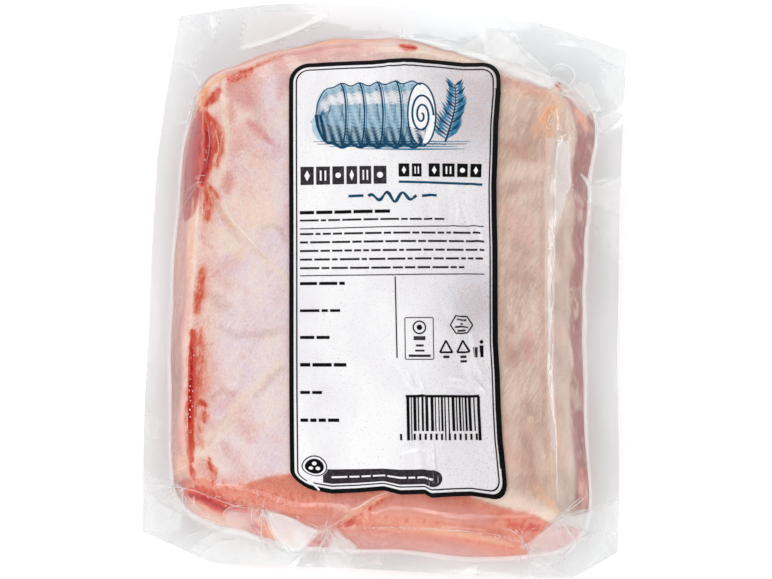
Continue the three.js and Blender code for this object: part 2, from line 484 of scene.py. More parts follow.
def loin_under_point(turn, share):
    radius = (around(foot_radius, turn) - UNDERCUT) * (1 - share)
    return out_along(turn, radius, np.full_like(share, LOIN_SOLE))


LOIN_STRETCHES = [
    (top_point, 0, 1, 60),
    (wall_point, 0.04, 1, 34),
    (loin_lower_point, 0.05, 1, 14),
    (loin_under_point, 0.12, 1, 8),
]
FILM_GAP = 0.3  # the film lies this far outside the meat, so that the two skins stay apart
loin_base = stack_rings(LOIN_STRETCHES)
loin_facing = facing(loin_base)
upper = soft_step(loin_base[..., 2], 4, 12)
loin_points = loin_base + loin_facing * (
    (meat_relief(loin_base) - 0.2) * upper + FILM_GAP * (upper - 1) * 0.2 - FILM_GAP
)[..., None]
print("loin:", loin_points.shape[0], "rings of", SPOKES, "points")

# %% [markdown]
# ### Marks on the loin
# Thirteen marks cover the silverskin that everything starts from. Large areas come from the place
# and slope of each point, and the rest is painted: streaks of fat, pink blush, red strips where
# lean shows through a slit in the membrane, and thin lines of blood where juice has gathered.

# %% Large areas
LP = loin_points
LX, LY, LZ = LP[..., 0], LP[..., 1], LP[..., 2]
steep = 1 - soft_step(loin_facing[..., 2], 0.3, 0.8)
wander = rough(LX, LY, LZ, 12, 21)
fine = rough(LX, LY, LZ, 3.2, 33)
left_wall = soft_step(-LX, 68, 72) * steep * (1 - soft_step(LZ, 38, 41.5))
right_side = soft_step(LX, 58, 61.5) * (1 - soft_step(LY, 60, 70))
wall_line = 3 * wander + 1.5 * fine - 3.6 * soft_step(LY, 22, 44)
right_wall = right_side * (1 - soft_step(LZ + wall_line, 27.6, 31))
far_wall = soft_step(LY, 70, 76) * steep * (1 - soft_step(LZ, 36, 41))
underside = 1 - soft_step(LZ, 5, 10)
marks = {}

back_fat = soft_step(LX + 6 * wander, -8, 12)
marks["back_fat"] = back_fat
upper_side = soft_step(LY + 9 * wander, -8, 22)
left_margin = soft_step(-LX + 3 * wander, 60, 70)
warm = soft_step(-LX + 7 * wander, 44, 58) + soft_step(LY, 66, 78)
rosy_share = np.maximum(upper_side * warm * (0.6 + 0.35 * fine), left_margin)
marks["peach"] = np.clip(rosy_share, 0, 1) * (1 - back_fat)
near_face = soft_step(past_cut_line(LP) + 0.8 * wander, -0.4, 0.6)
rose = stroke(LP, [(-73.4, 61), (-74.2, 46), (-75.4, 34), (-77.0, 21)], 10.6, 1, 0.25, 0.15)
rose = cover(rose, stroke(LP, [(-75.4, 36), (-76.2, 29), (-77.2, 21)], 9, 1, 0.25, 0.15))
lean = cover(near_face, left_wall * (0.2 + 0.1 * fine))
lean = cover(lean, far_wall * (0.5 + 0.5 * soft_step(fine, -0.7, 0.1)))
lean = cover(lean, underside * soft_step(wander, -0.5, 0.2))
fat_seam = stroke(LP, [(30, -86), (42, -89), (52, -91.5), (62, -95)], 5, 1, 0.35)
# Painted shade: in two folds on the near face the lean is taken off, so that the painted shade under it
# shows.
lean_cut_for_fold_shade = cover(
    stroke(LP, [(-23.6, -98.6), (-28.5, -104), (-35.5, -111)], 5.0, 0.6, 0.6),
    stroke(LP, [(-47.6, -92.4), (-43.6, -98), (-39, -104.5)], 4.4, 0.6, 0.6),
)
marks["lean"] = lean * (1 - 0.95 * fat_seam) * (1 - lean_cut_for_fold_shade)
marks["rose"] = rose
speckled = soft_step(fine + wander, -0.9, 0.3)
lilac = left_wall * (1 - soft_step(LZ, 34, 39)) * (0.46 + 0.26 * bump(LY, -38, 32) + 0.1 * fine)
low_on_walls = cover(right_wall * (0.35 + 0.65 * speckled), lilac)
marks["mauve"] = low_on_walls * soft_step(LZ, 7, 11) * soft_step(LY, -96, -88)
marks["shoulder"] = right_side * soft_step(LZ, 26, 31) * (1 - soft_step(LY, 34, 50))
print("large areas:", ", ".join(marks))

# %% Streaks of cream fat
CREAM = [
    ([(-66.1, 66), (-63, 60), (-62.8, 50), (-64.1, 36), (-65.4, 30)], 3.4, 0.85),
    ([(-70, 58), (-66, 61), (-64.1, 66)], 4, 0.8),
    ([(-55.7, 40), (-49.7, 36), (-43.6, 28)], 5, 0.45),
    ([(-57.4, 22), (-51.4, 20), (-45.4, 16)], 13, 0.75),
    ([(-65.1, 12), (-60.1, 7), (-55.1, 2)], 7, 0.75),
    ([(-68.5, -16), (-65.4, -28)], 6, 0.6),
    ([(-40.2, 80), (-36.2, 77), (-36.1, 70)], 5, 0.6),
    ([(-10.1, 86), (0, 84), (12.1, 82), (30.2, 80)], 6, 0.7),
    ([(47.7, 38), (55.6, 36), (59.5, 28)], 4, 0.25),
    ([(44.9, -30), (50.8, -26), (54.9, -14)], 5, 0.35),
    ([(50.3, -58), (54, -70), (54.7, -84)], 4, 0.25),
    ([(64.5, -20), (65.9, -50), (66.4, -78)], 3, 0.2),
    ([(-19.7, -104.2), (-7.6, -106), (9.5, -106)], 3, 0.6),
    ([(-73, -75.4), (-71.9, -71.8), (-69.3, -70.6), (-66.4, -71.6), (-64.6, -74.1), (-65.3, -77.4)],
     3.4, 0.95),
    ([(-69, -70.3), (-66.1, -65), (-60.9, -59.6), (-53.8, -51.2), (-47.2, -45.9)], 3.6, 0.7),
    ([(-64.6, -67.2), (-58.7, -61.2), (-53.7, -57.3)], 2.4, 0.5),
    ([(-57.3, -54.3), (-51.9, -48.2), (-44.3, -41.3), (-39.7, -37.5)], 3.4, 0.5),
    ([(-62.5, 21.1), (-58.7, 14.3), (-54.2, 8.2), (-47.4, 1.3), (-41.4, -4), (-38.5, -7.8)], 2.6, 0.7),
    ([(-72.9, 26), (-73.2, 10), (-74, -13), (-75.2, -31)], 1.7, 0.85),
    ([(-75.3, -31), (-75.3, -51), (-75, -62), (-74.4, -72)], 1.4, 1),
    ([(28, -86.5), (38, -88.5), (50, -91.5), (60.5, -94.3)], 7.5, 0.95),
    ([(-67.2, 43), (-66.4, 37.5), (-68.8, 32.8)], 2.2, 0.8),
    ([(-71.5, 60), (-70.5, 63.5), (-67.5, 69.4), (-65, 73)], 2.2, 0.85),
    ([(-67.6, 60.5), (-64.6, 65), (-63.6, 71)], 2.4, 0.85),
    ([(41.4, 30.7), (50.9, 35.6), (59.3, 36.4)], 5, 0.4),
    ([(45.2, -43.6), (44, -77.9)], 4.6, 0.35),
]
print(len(CREAM), "streaks of cream fat")

# %% Pink blush and folds in shade
BLUSH = [
    ([(-61.2, 71), (-57.1, 68), (-54, 62)], 13, 0.75),
    ([(-62, 60), (-60.9, 55)], 4.5, 0.9),
    ([(-60.8, 70.5), (-62, 64), (-61.6, 58)], 4.2, 0.6),
    ([(-53.9, 54), (-49.9, 50), (-45.8, 46)], 3.6, 0.85),
    ([(-55.9, 52), (-59.7, 44)], 10, 0.35),
    ([(-61.6, 34), (-61.4, 27)], 4.6, 0.8),
    ([(-57.1, 3), (-62.9, -4), (-60.8, -10)], 7, 0.35),
    ([(-44.2, 80), (-24.2, 84), (-6, 85)], 8, 0.8),
    ([(-42.2, 78), (-40.1, 72), (-42, 64)], 6, 0.5),
    ([(-58.2, -50), (-56.1, -60), (-52.1, -66)], 8, 0.35),
    ([(-67.2, -84), (-65.4, -78)], 5, 0.6),
    ([(-61.7, -68), (-57.8, -74), (-53.9, -78)], 5, 0.35),
    ([(43.5, 20), (51.3, 8)], 8, 0.3),
    ([(67.9, 65.9), (70.1, 65.7)], 5, 0.6),
    ([(42.5, -66), (44.3, -76)], 6, 0.35),
    ([(41.4, 71), (50, 69.5), (57.4, 66)], 6, 0.45),
    ([(-70.5, -76), (-68, -80.5)], 6.5, 0.5),
    ([(-71.6, -58), (-71, -66), (-70.4, -69)], 3, 0.45),
    ([(50.9, -27.3), (51.7, -36.8)], 5, 0.3),
]
# Painted shade in folds and along the far top edge, mixed with tan-brown patches that are the tissue's own
# colour.
SHADE = [  # where the silverskin and the fat lie in a fold, or are thin over the lean
    ([(-66.3, 22.7), (-61.8, 15), (-57.3, 9), (-51.2, 4.8), (-46, -0.2)], 2.4, 0.4),
    ([(-48.5, 12.8), (-44, 14), (-41, 11.2), (-39.6, 7.4)], 1.8, 0.6),
    ([(-64, -24.6), (-58.7, -27.6), (-51.2, -28.4), (-42.4, -27.6)], 3, 0.4),
    ([(-69, -11.6), (-64, -15.4), (-60.8, -17)], 5, 0.45),
    ([(-66.4, -51.2), (-62, -48.2), (-58.4, -50.5)], 1.8, 0.6),
    ([(-50.4, -51.2), (-44.6, -44.4), (-40.2, -40.6)], 3, 0.5),
    ([(-67.4, -68.4), (-64, -62), (-60, -57.4)], 1.8, 0.6),
    ([(-63, -64.6), (-58, -60)], 1.6, 0.45),
    ([(-55.6, 66), (-51, 60), (-50, 52)], 4, 0.35),
    ([(-47.6, 56), (-43.6, 48), (-44, 40)], 4, 0.3),
    ([(42.4, 45), (48, 42), (53, 39)], 7, 0.7),
    ([(41.4, 37.5), (49, 42), (56.6, 49), (60.8, 56.4)], 3, 0.5),
    ([(42, 25), (50.6, 28.8), (58, 30.7)], 4, 0.4),
    ([(57, 21), (56.6, -2.5)], 3, 0.35),
    ([(44, 12), (48, 2), (47, -8)], 5, 0.35),
    ([(43, -33), (46, -38)], 7, 0.45),
    ([(50.6, -27.3), (51.2, -36.8)], 4, 0.35),
    ([(51, -62.7), (52, -66.5)], 6, 0.65),
    ([(46.4, -72.2), (53.6, -76), (55.4, -85)], 7, 0.5),
    ([(-47.6, -91.8), (-42, -98), (-37.6, -104)], 5, 0.9),
    ([(-23.6, -98.6), (-28, -104), (-36, -109)], 5, 0.8),
    ([(-57, -92), (-52, -96), (-49, -101)], 6, 0.6),
    ([(42, -58), (42, -70)], 5, 0.35),
    ([(62, -52), (63, -64), (63, -78)], 7, 0.42),
    ([(49.5, -62), (51, -73), (51.5, -84)], 11, 0.42),
    ([(-40, 80), (-21, 83.4), (-3, 84)], 6, 0.3),
]
cloudy = 0.35 * soft_step(rough(LX, LY, LZ, 13, 57), 0.0, 0.7) * (1 - back_fat)
cream = painted(LP, CREAM, 0.3 * soft_step(wander, 0.1, 0.6), 0.8)
marks["cream"] = cream * (1 - near_face * (1 - fat_seam))
marks["blush"] = painted(LP, BLUSH, cloudy, 0.9)
print(len(BLUSH), "strokes of blush and", len(SHADE), "of shade")

# %% Orange fat
ORANGE = [
    ([(-74.2, 71), (-72, 66.5), (-71.2, 60.6)], 5, 0.85),
    ([(-73.1, 66), (-68.2, 70), (-60.2, 73.4)], 1.8, 0.4),
    ([(-76, 60), (-75.1, 66), (-71.7, 71), (-66.2, 74)], 3, 0.25),
    ([(-69.5, 72), (-63, 73.6), (-56.5, 73)], 2.0, 0.35),
    ([(59.4, 50), (58.7, 30), (57.8, 10), (56.8, -14), (56.8, -50), (58.6, -84)], 1.0, 0.2),
    ([(-17.6, -94.6), (-9, -90), (-2, -86.6)], 2.2, 0.25),
    ([(-4, -97.8), (12, -98.4), (28.7, -101.2), (45.5, -104.2)], 2.2, 0.4),
    ([(-17, -96.2), (-6, -95), (10, -95.6), (24, -97.4)], 5.0, 0.22),
    ([(-16, -96), (-9, -91.6), (-1.5, -87.2)], 4.0, 0.2),
    ([(-68.9, -94), (-63.1, -98), (-57.4, -100)], 4.5, 0.3),
    ([(-75.3, 26), (-75.8, 6), (-76.1, -8)], 1.4, 0.35),
    ([(-40.3, 85), (-20.2, 88.5), (0, 89)], 1.8, 0.7),
    ([(-67, 25), (-63.5, 18.5), (-59, 12.5)], 1.6, 0.3),
    ([(72.2, 62.4), (76, 57.6)], 5, 0.36),
    ([(64.3, 64.4), (60.5, 59.2), (58.2, 53.5), (55, 50)], 9, 0.24),
    ([(64, 64.2), (60.6, 58.6), (58.4, 51.8)], 3.0, 0.26),
    ([(62.6, 62), (57.4, 55.4), (53.4, 51)], 2.2, 0.2),
    ([(60.6, 54), (59.6, 46), (59.2, 38)], 1.4, 0.5),
    ([(44, 66), (54, 66.5), (62, 65.5)], 5, 0.2),
    ([(-80, -76.6), (-77.4, -74.4), (-74.8, -74.4)], 6, 0.42),
    ([(-71.4, 36), (-72.6, 30)], 0.9, 0.6),
    ([(53, -84), (60.4, -92)], 3.4, 0.22),
    ([(55, -86.4), (60.8, -93.4)], 1.6, 0.18),
    ([(-50, -95.6), (-42.6, -99.4), (-35, -102.6)], 4.2, 0.7),
    ([(-75, -88.5), (-67, -93.5), (-58, -97.5)], 8, 0.3),
]
print(len(ORANGE), "strokes of orange fat")

# %% Pale lean
PALE_LEAN = [
    ([(-38.2, -103), (-9.5, -105), (19.1, -107), (41.9, -110)], 10, 0.75),
    ([(9.5, -107), (22.9, -108), (36.2, -110)], 5, 0.6),
    ([(-32.5, -96), (-13.6, -94)], 4, 0.3),
    ([(-20, -90.5), (8, -91.5), (34, -95)], 9, 0.4),
]
print(len(PALE_LEAN), "strokes of pale lean")

# %% Red strips and lines of blood
RED = [
    ([(-61.6, 71), (-57, 73), (-53.4, 74.4)], 4.6, 0.8),
    ([(-55, 75), (-48.6, 78.4), (-42, 82)], 2.6, 0.5),
    ([(-70.2, 60.6), (-65.4, 66.8)], 3.6, 0.9),
    ([(-71.5, -84.8), (-57.6, -87), (-42.2, -88), (-28, -88)], 13, 0.5),
    ([(4, 85.4), (9.1, 84.4)], 3.6, 0.85),
    ([(28.7, -101), (40.1, -106), (52.9, -107.5)], 6, 0.2),
    ([(-9.6, -90), (9.6, -92), (24.9, -95)], 7, 0.12),
    ([(-55.4, -95.8), (-49.3, -96.6), (-47.7, -100.7)], 3.4, 0.5),
    ([(-16.6, -96.4), (3.8, -98.5), (26.7, -102.5), (47.1, -105.4)], 2.0, 0.36),
    ([(-17.2, -97), (-9.4, -92), (-1.5, -87.4)], 3.0, 0.55),
    ([(-17, -96.2), (-6, -95), (10, -95.6), (24, -97.4)], 4.6, 0.42),
    ([(-70.4, 57.4), (-67.3, 54.4), (-65, 49), (-64.6, 43.5), (-65.6, 37)], 3.4, 0.62),
    ([(-67.4, 52), (-66.8, 45), (-67.2, 40)], 3.8, 0.3),
    ([(-70.6, 57), (-69.6, 50), (-69, 43), (-69.7, 36.5), (-71.8, 30.5)], 4.2, 1),
    ([(-70.2, 29), (-68.9, 23), (-69.1, 17)], 6.2, 0.62),
    ([(-70, 31), (-67, 27.5), (-64.4, 24)], 2.0, 0.45),
    ([(-70.6, -2.5), (-71.3, -9.3), (-72.6, -19)], 4.2, 0.7),
    ([(-73.8, -26), (-73.8, -44), (-73.9, -58), (-74.1, -65), (-73.6, -74)], 3.8, 1),
    ([(-71.4, -26), (-70.4, -36), (-70.4, -46), (-71.4, -53)], 5.6, 0.5),
    ([(-70.4, -52.4), (-68.2, -54.4)], 2.4, 0.75),
    ([(-69.2, -56.4), (-68.8, -60)], 2.8, 0.7),
    ([(-70.8, -61.8), (-70.4, -63.8)], 1.8, 0.6),
    ([(-70.4, -66), (-69.6, -69.6)], 2.2, 0.45),
    ([(-67.1, -73.3), (-66.8, -76.6), (-64.8, -78), (-65.6, -82.4)], 1.7, 0.8),
    ([(-74, -76), (-73.2, -80.6)], 2.8, 0.75),
    ([(-76.4, -84.2), (-69, -86.6), (-62.3, -90.2), (-54, -93)], 5.4, 0.85),
    ([(72.2, 61.8), (76, 57.2)], 3.6, 0.3),
    ([(43, -96), (50, -98.6), (55, -98.6)], 9, 0.6),
    ([(71.6, -76), (72.6, -87)], 4, 0.25),
]
BLOOD = [
    ([(-51.1, -92.7), (-42, -97.9), (-34.4, -100.5), (-26.7, -103)], 1.6, 0.35),
    ([(-53.3, -95.8), (-50.3, -97.5)], 2, 0.6),
    ([(6, 84.6), (9.1, 84)], 1.8, 0.6),
    ([(-69.8, 51), (-69.2, 43), (-69.9, 37), (-71.8, 31)], 2.6, 1),
    ([(-74.2, -32), (-74.2, -46), (-74.4, -60)], 1.7, 0.75),
    ([(-76.6, -85.2), (-69, -87.6), (-61, -91.4)], 2.4, 0.85),
    ([(-73.9, -76.6), (-73.4, -80)], 1.4, 0.55),
    ([(-66.8, -75), (-65.2, -78)], 0.9, 0.5),
    ([(64.2, 74), (64.5, 71.6)], 1.0, 1),
]
marks["shade"] = painted(LP, SHADE, 0, 0.9)
marks["orange"] = painted(LP, ORANGE, 0, 0.8)
marks["pale_lean"] = painted(LP, PALE_LEAN, 0, 0.9)
marks["red"] = painted(LP, RED, 0, 0.9)
marks["blood"] = painted(LP, BLOOD, 0, 0.9)
for name, mark in marks.items():
    print(f"{name}: covers {float(np.mean(np.clip(mark, 0, 1))):.3f} of the loin")

# %% [markdown]
# ### The loin's body
# The grid is rolled up with these points and marks. Its underside is flat where it lies.

# %% Loin body
loin = roll_grid("loin", loin_points, marks)
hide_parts("sealed_pack")

# %% [markdown]
# ## The pouch
# Vacuum film is a clear, stiff laminate, and a pouch is two sheets of it, welded round the edge.
# Drawn down over a block it can't stretch to fit the corners, so the spare film gathers at a few
# puckers on the edge of the meat, and pleats fan out from them into the rim. A pleat is modelled
# as a crest along a path. The named puckers come first, and smaller pleats are then scattered
# round the pack.

# %% Puckers
PUCKERS = [  # place, direction of its fan in degrees, spread of the fan, pleats, height
    ((-77.7, -83), 200, 110, 8, 0.9),
    ((-47.8, -91.5), -78, 70, 6, 0.9),
    ((-23.6, -98.5), -100, 120, 8, 1.1),
    ((50.1, -103.6), -60, 130, 8, 0.9),
    ((61.2, -94.5), -15, 120, 9, 1.1),
    ((-73.5, 63.6), 135, 130, 8, 0.6),
    ((-39.3, 87.3), 100, 60, 3, 0.5),
    ((65.2, 67.5), 45, 130, 6, 0.8),
    ((-70.9, 31), 185, 50, 3, 0.4),
    ((4, 90), 80, 60, 3, 0.5),
]
print(len(PUCKERS), "puckers")

# %% Single folds
FOLDS = [  # path, width and height of single folds that cross the top, the walls or the rim
    ([(-70.9, 29), (-71.3, 14), (-71.6, 2)], 1.2, 0.3),
    ([(-73.5, 63.6), (-69.6, 71), (-62.3, 76), (-50.3, 83.5), (-39.3, 87.6)], 1.6, 0.5),
    ([(-65.3, 75), (-56.7, 80), (-47.9, 84), (-39.3, 87)], 1.3, 0.35),
    ([(-38.8, 88), (-41.3, 83), (-47.2, 75.6)], 1.6, 0.25),
    ([(-38.3, 89), (-26.2, 91.6), (-14.1, 92.4), (-6.1, 91.4)], 1.6, 0.4),
    ([(-73.5, 63.6), (-76.2, 69), (-80.3, 74)], 1.4, 0.5),
    ([(-73.5, 63.6), (-74.2, 70), (-71.9, 76)], 1.4, 0.4),
    ([(-82.8, -80), (-78.2, -83), (-71.5, -84.8), (-59.4, -90), (-48, -91.5)], 1.8, 0.5),
    ([(-94.2, -80), (-86.5, -80), (-82.8, -80.3)], 1.6, 0.6),
    ([(-82.7, -85.9), (-77.7, -83)], 1.6, 0.5),
    ([(-77.7, -83.5), (-73, -90), (-67, -96), (-61.2, -98)], 1.8, 0.4),
    ([(-48, -91.5), (-36.4, -94.6), (-27.2, -97.7), (-23.6, -98.5)], 1.6, 0.5),
    ([(-64.9, -95.6), (-61.7, -90.6), (-57, -89.7), (-51.3, -89.8)], 1.5, 0.5),
    ([(-51.3, -89.8), (-52.9, -96), (-47.7, -100.7)], 1.5, 0.5),
    ([(-64.9, -95.6), (-58.4, -96.4), (-52.9, -96)], 1.4, 0.4),
    ([(-48, -91.5), (-44.8, -99.7), (-40.1, -107)], 1.8, 0.6),
    ([(-46.7, -91.6), (-42, -101), (-38.2, -106)], 1.6, 0.5),
    ([(-23.6, -98.5), (-27.2, -99.1), (-32.5, -105), (-41.9, -113)], 2, 0.9),
    ([(-23.6, -99), (-25.8, -104), (-31.5, -109), (-34.3, -114)], 1.8, 0.8),
    ([(-22.5, -99), (-22.1, -103.3), (-25.7, -108)], 1.6, 0.6),
    ([(-20.5, -98.4), (-13.4, -103.6), (-11.4, -107.4)], 1.6, 0.5),
    ([(-23.6, -98.5), (-13.4, -92), (-6.7, -87.6), (1, -84.6)], 2, 0.5),
    ([(-21.2, -98.4), (0, -97.6), (22.9, -99), (40.1, -100.6), (47.2, -102.4), (50.1, -104.1)], 1.6, 0.4),
    ([(41.1, -98.4), (45.8, -99.5), (50.1, -103.6)], 1.4, 0.4),
    ([(50.1, -103.6), (55.2, -100.4), (59.4, -97.5), (61.2, -94.5)], 1.4, 0.5),
    ([(52.1, -103.2), (58.3, -102.7), (59.1, -106.7), (52.7, -105.3)], 1.5, 0.6),
    ([(50.6, -105.2), (57.8, -108.6), (61, -111), (64.7, -116)], 1.8, 0.8),
    ([(61.2, -94.5), (65.1, -96.5), (70.4, -98), (76.5, -98.6)], 1.6, 0.7),
    ([(61.2, -94.5), (68.7, -91.8), (78.6, -89.6)], 1.8, 0.7),
    ([(60.4, -95.9), (62.7, -102), (65.2, -108.4)], 1.6, 0.6),
    ([(65.2, -108.4), (69.7, -102.4), (76.5, -98.6), (82.3, -98)], 1.8, 0.7),
    ([(61.4, 51.2), (64.8, 48.2), (68.3, 52.4)], 1.5, 0.6),
    ([(68.3, 52.4), (68, 47.6), (62.8, 46.6)], 1.4, 0.4),
    ([(60.8, 50), (59.4, 33), (58, 13), (57.2, -24), (58, -62), (60.2, -93.9)], 1.4, 0.4),
    ([(62.6, 46), (62.3, 14), (60.2, -24), (60.5, -63), (60.8, -92.9)], 1.4, 0.4),
    ([(68.7, 34), (65.3, 23), (62.2, 12), (61, 4)], 1.8, 0.4),
    ([(65.7, 67.5), (74.1, 66), (82, 60)], 1.8, 0.5),
    ([(65.7, 68.7), (61, 72.1), (43.2, 80), (20.2, 90)], 1.8, 0.4),
    ([(-84.7, 92), (-76.4, 78), (-71.2, 71)], 1.8, 0.3),
    ([(-74, 109), (-72.4, 102), (-72.5, 97)], 2.4, 0.5),
    ([(-60.6, 94), (-51.5, 96.2), (-38.4, 101), (-26.3, 108)], 2.6, 0.8),
    ([(35.4, 102), (37.4, 95), (36.3, 86)], 3, 0.8),
    ([(49.5, 99.5), (52.5, 93), (58.4, 88), (64.4, 83)], 2.6, 0.8),
    ([(66.6, 96), (78.7, 95), (85.7, 90), (94.7, 87)], 3, 0.8),
    ([(76.2, 68), (84.2, 68.4), (93.7, 72)], 2.4, 0.9),
    ([(81.9, 58), (85.4, 60.4), (93.6, 68)], 2.4, 0.8),
    ([(73.6, 38.4), (82.5, 38.2), (91.5, 42.4)], 2.4, 0.8),
    ([(-94.2, -82), (-88.2, -88), (-78.6, -92)], 2.6, 0.5),
    ([(-85.9, -104), (-76.5, -99), (-67, -96)], 2.6, 0.6),
    ([(-74.4, -107), (-66.9, -102), (-59.2, -101)], 2.4, 0.5),
    ([(-69.3, 28), (-66.3, 19.2), (-60.7, 9.7), (-53.2, 1.3)], 1.6, 0.25),
    ([(-64, 25.6), (-61, 17.3), (-55.8, 11.2), (-49.8, 5.1), (-46, 1)], 1.5, 0.45),
    ([(-73.4, 63.6), (-70.4, 56), (-68.6, 48), (-69.4, 40), (-72, 31)], 1.6, 0.25),
    ([(-69.6, 57), (-66.6, 51), (-65.2, 44), (-66.4, 38), (-69.4, 32)], 1.6, 0.25),
    ([(-72, 31), (-72.9, 20), (-73.4, 6), (-74.4, -13), (-75.2, -30)], 1.4, 0.45),
    ([(-75.2, -30), (-75.6, -45), (-75.4, -58), (-74.6, -70), (-73.6, -76)], 1.5, 0.5),
    ([(-72.2, -31), (-72.2, -46), (-72.6, -60)], 1.2, 0.3),
    ([(-82, -77.2), (-77.6, -76.4), (-72.8, -75.2)], 1.5, 0.6),
    ([(-64.2, -68), (-62.2, -70.4), (-62.1, -74.9), (-63.9, -78.7)], 1.4, 0.35),
]
print(len(FOLDS), "single folds")

# %% Fans and scattered pleats


def smooth_path(path, step=1.5):
    """Rounds a path by cutting its corners three times, then spaces its points evenly."""
    path = np.array(path, float)
    for _ in range(3):
        cut = np.stack([0.75 * path[:-1] + 0.25 * path[1:], 0.25 * path[:-1] + 0.75 * path[1:]], 1)
        path = np.vstack([path[:1], cut.reshape(-1, 2), path[-1:]])
    walked = np.concatenate([[0], np.cumsum(np.hypot(*np.diff(path, axis=0).T))])
    stations = np.linspace(0, walked[-1], max(4, round(walked[-1] / step) + 1))
    return np.stack([np.interp(stations, walked, path[:, axis]) for axis in (0, 1)], 1)


def fan(place, heading, spread, count, height):
    """Pleats that run from a pucker out to the rim, in a fan."""
    pleats = []
    for number in range(count):
        way = heading + spread * ((number + 0.5) / count - 0.5) + draw.uniform(-6, 6)
        length = draw.uniform(7, 17)
        bend = draw.uniform(-0.25, 0.25)
        path = [place]
        for step in (0.35, 0.7, 1.0):
            angle = math.radians(way) + bend * step
            run = length * step
            path.append((place[0] + run * math.cos(angle), place[1] + run * math.sin(angle)))
        pleats.append((path, draw.uniform(1.4, 2.4), height * draw.uniform(0.4, 1.0)))
    return pleats


def scattered_pleat(turn):
    """A small pleat that starts low on the wall and runs out into the rim."""
    spoke = int(turn * SPOKES) % SPOKES
    start = foot_radius[spoke] - draw.uniform(-2, 4)
    end = foot_radius[spoke] + draw.uniform(0.3, 1.0) * (rim_radius[spoke] - foot_radius[spoke])
    drift = draw.uniform(-0.06, 0.06)
    path = []
    for share in (0, 0.5, 1):
        angle = turn * 2 * math.pi + drift * share * share
        radius = start + (end - start) * share
        path.append((radius * math.cos(angle), radius * math.sin(angle)))
    return path, draw.uniform(1.6, 3.4), draw.uniform(0.08, 0.25)


draw = random.Random(11)
creases = [(smooth_path(path), width, height) for path, width, height in FOLDS]
for pucker in PUCKERS:
    creases += [(smooth_path(path), width, height) for path, width, height in fan(*pucker)]
pleats = creases + [scattered_pleat(draw.uniform(0.60, 0.98)) for _ in range(24)]
print(len(pleats), "pleats and folds")

# %% [markdown]
# The film's height over the meat is the sum of these crests, of slow waves in the rim where the
# two sheets were welded flat and sprang up again, and of a low dome under the blister near the
# far right corner.

# %% Film relief
BUBBLE_CENTRE, BUBBLE_RADIUS = (68.6, 83.0), 5.2


def crest(gap, along, width):
    """A sharp crest that dies away at both ends."""
    across = np.clip(1 - gap / width, 0, 1)
    return across ** 1.6 * np.sin(math.pi * np.clip(along * 0.94 + 0.06, 0, 1)) ** 0.5


def pleat_relief(x, y):
    relief = np.zeros(x.shape)
    for path, width, height in pleats:
        near = close_to(x, y, path, width)
        if near.any():
            gap, along = path_distance(x[near], y[near], path)
            relief[near] = np.maximum(relief[near], height * crest(gap, along, width))
    return relief


def rim_waves(points, outward):
    x, y = points[..., 0], points[..., 1]
    flat = np.zeros(x.shape)
    slow = 1.3 * lumps(x, y, flat, 38, 71) + 0.3 * lumps(x, y, flat, 14, 72)
    return slow * outward ** 0.8


def bubble_relief(x, y):
    gap = np.hypot(x - BUBBLE_CENTRE[0], (y - BUBBLE_CENTRE[1]) * 0.85)
    return 0.4 * np.sqrt(np.clip(1 - (gap / BUBBLE_RADIUS) ** 2, 0, 1))


print("dome under the blister, mm:", float(bubble_relief(*BUBBLE_CENTRE)))
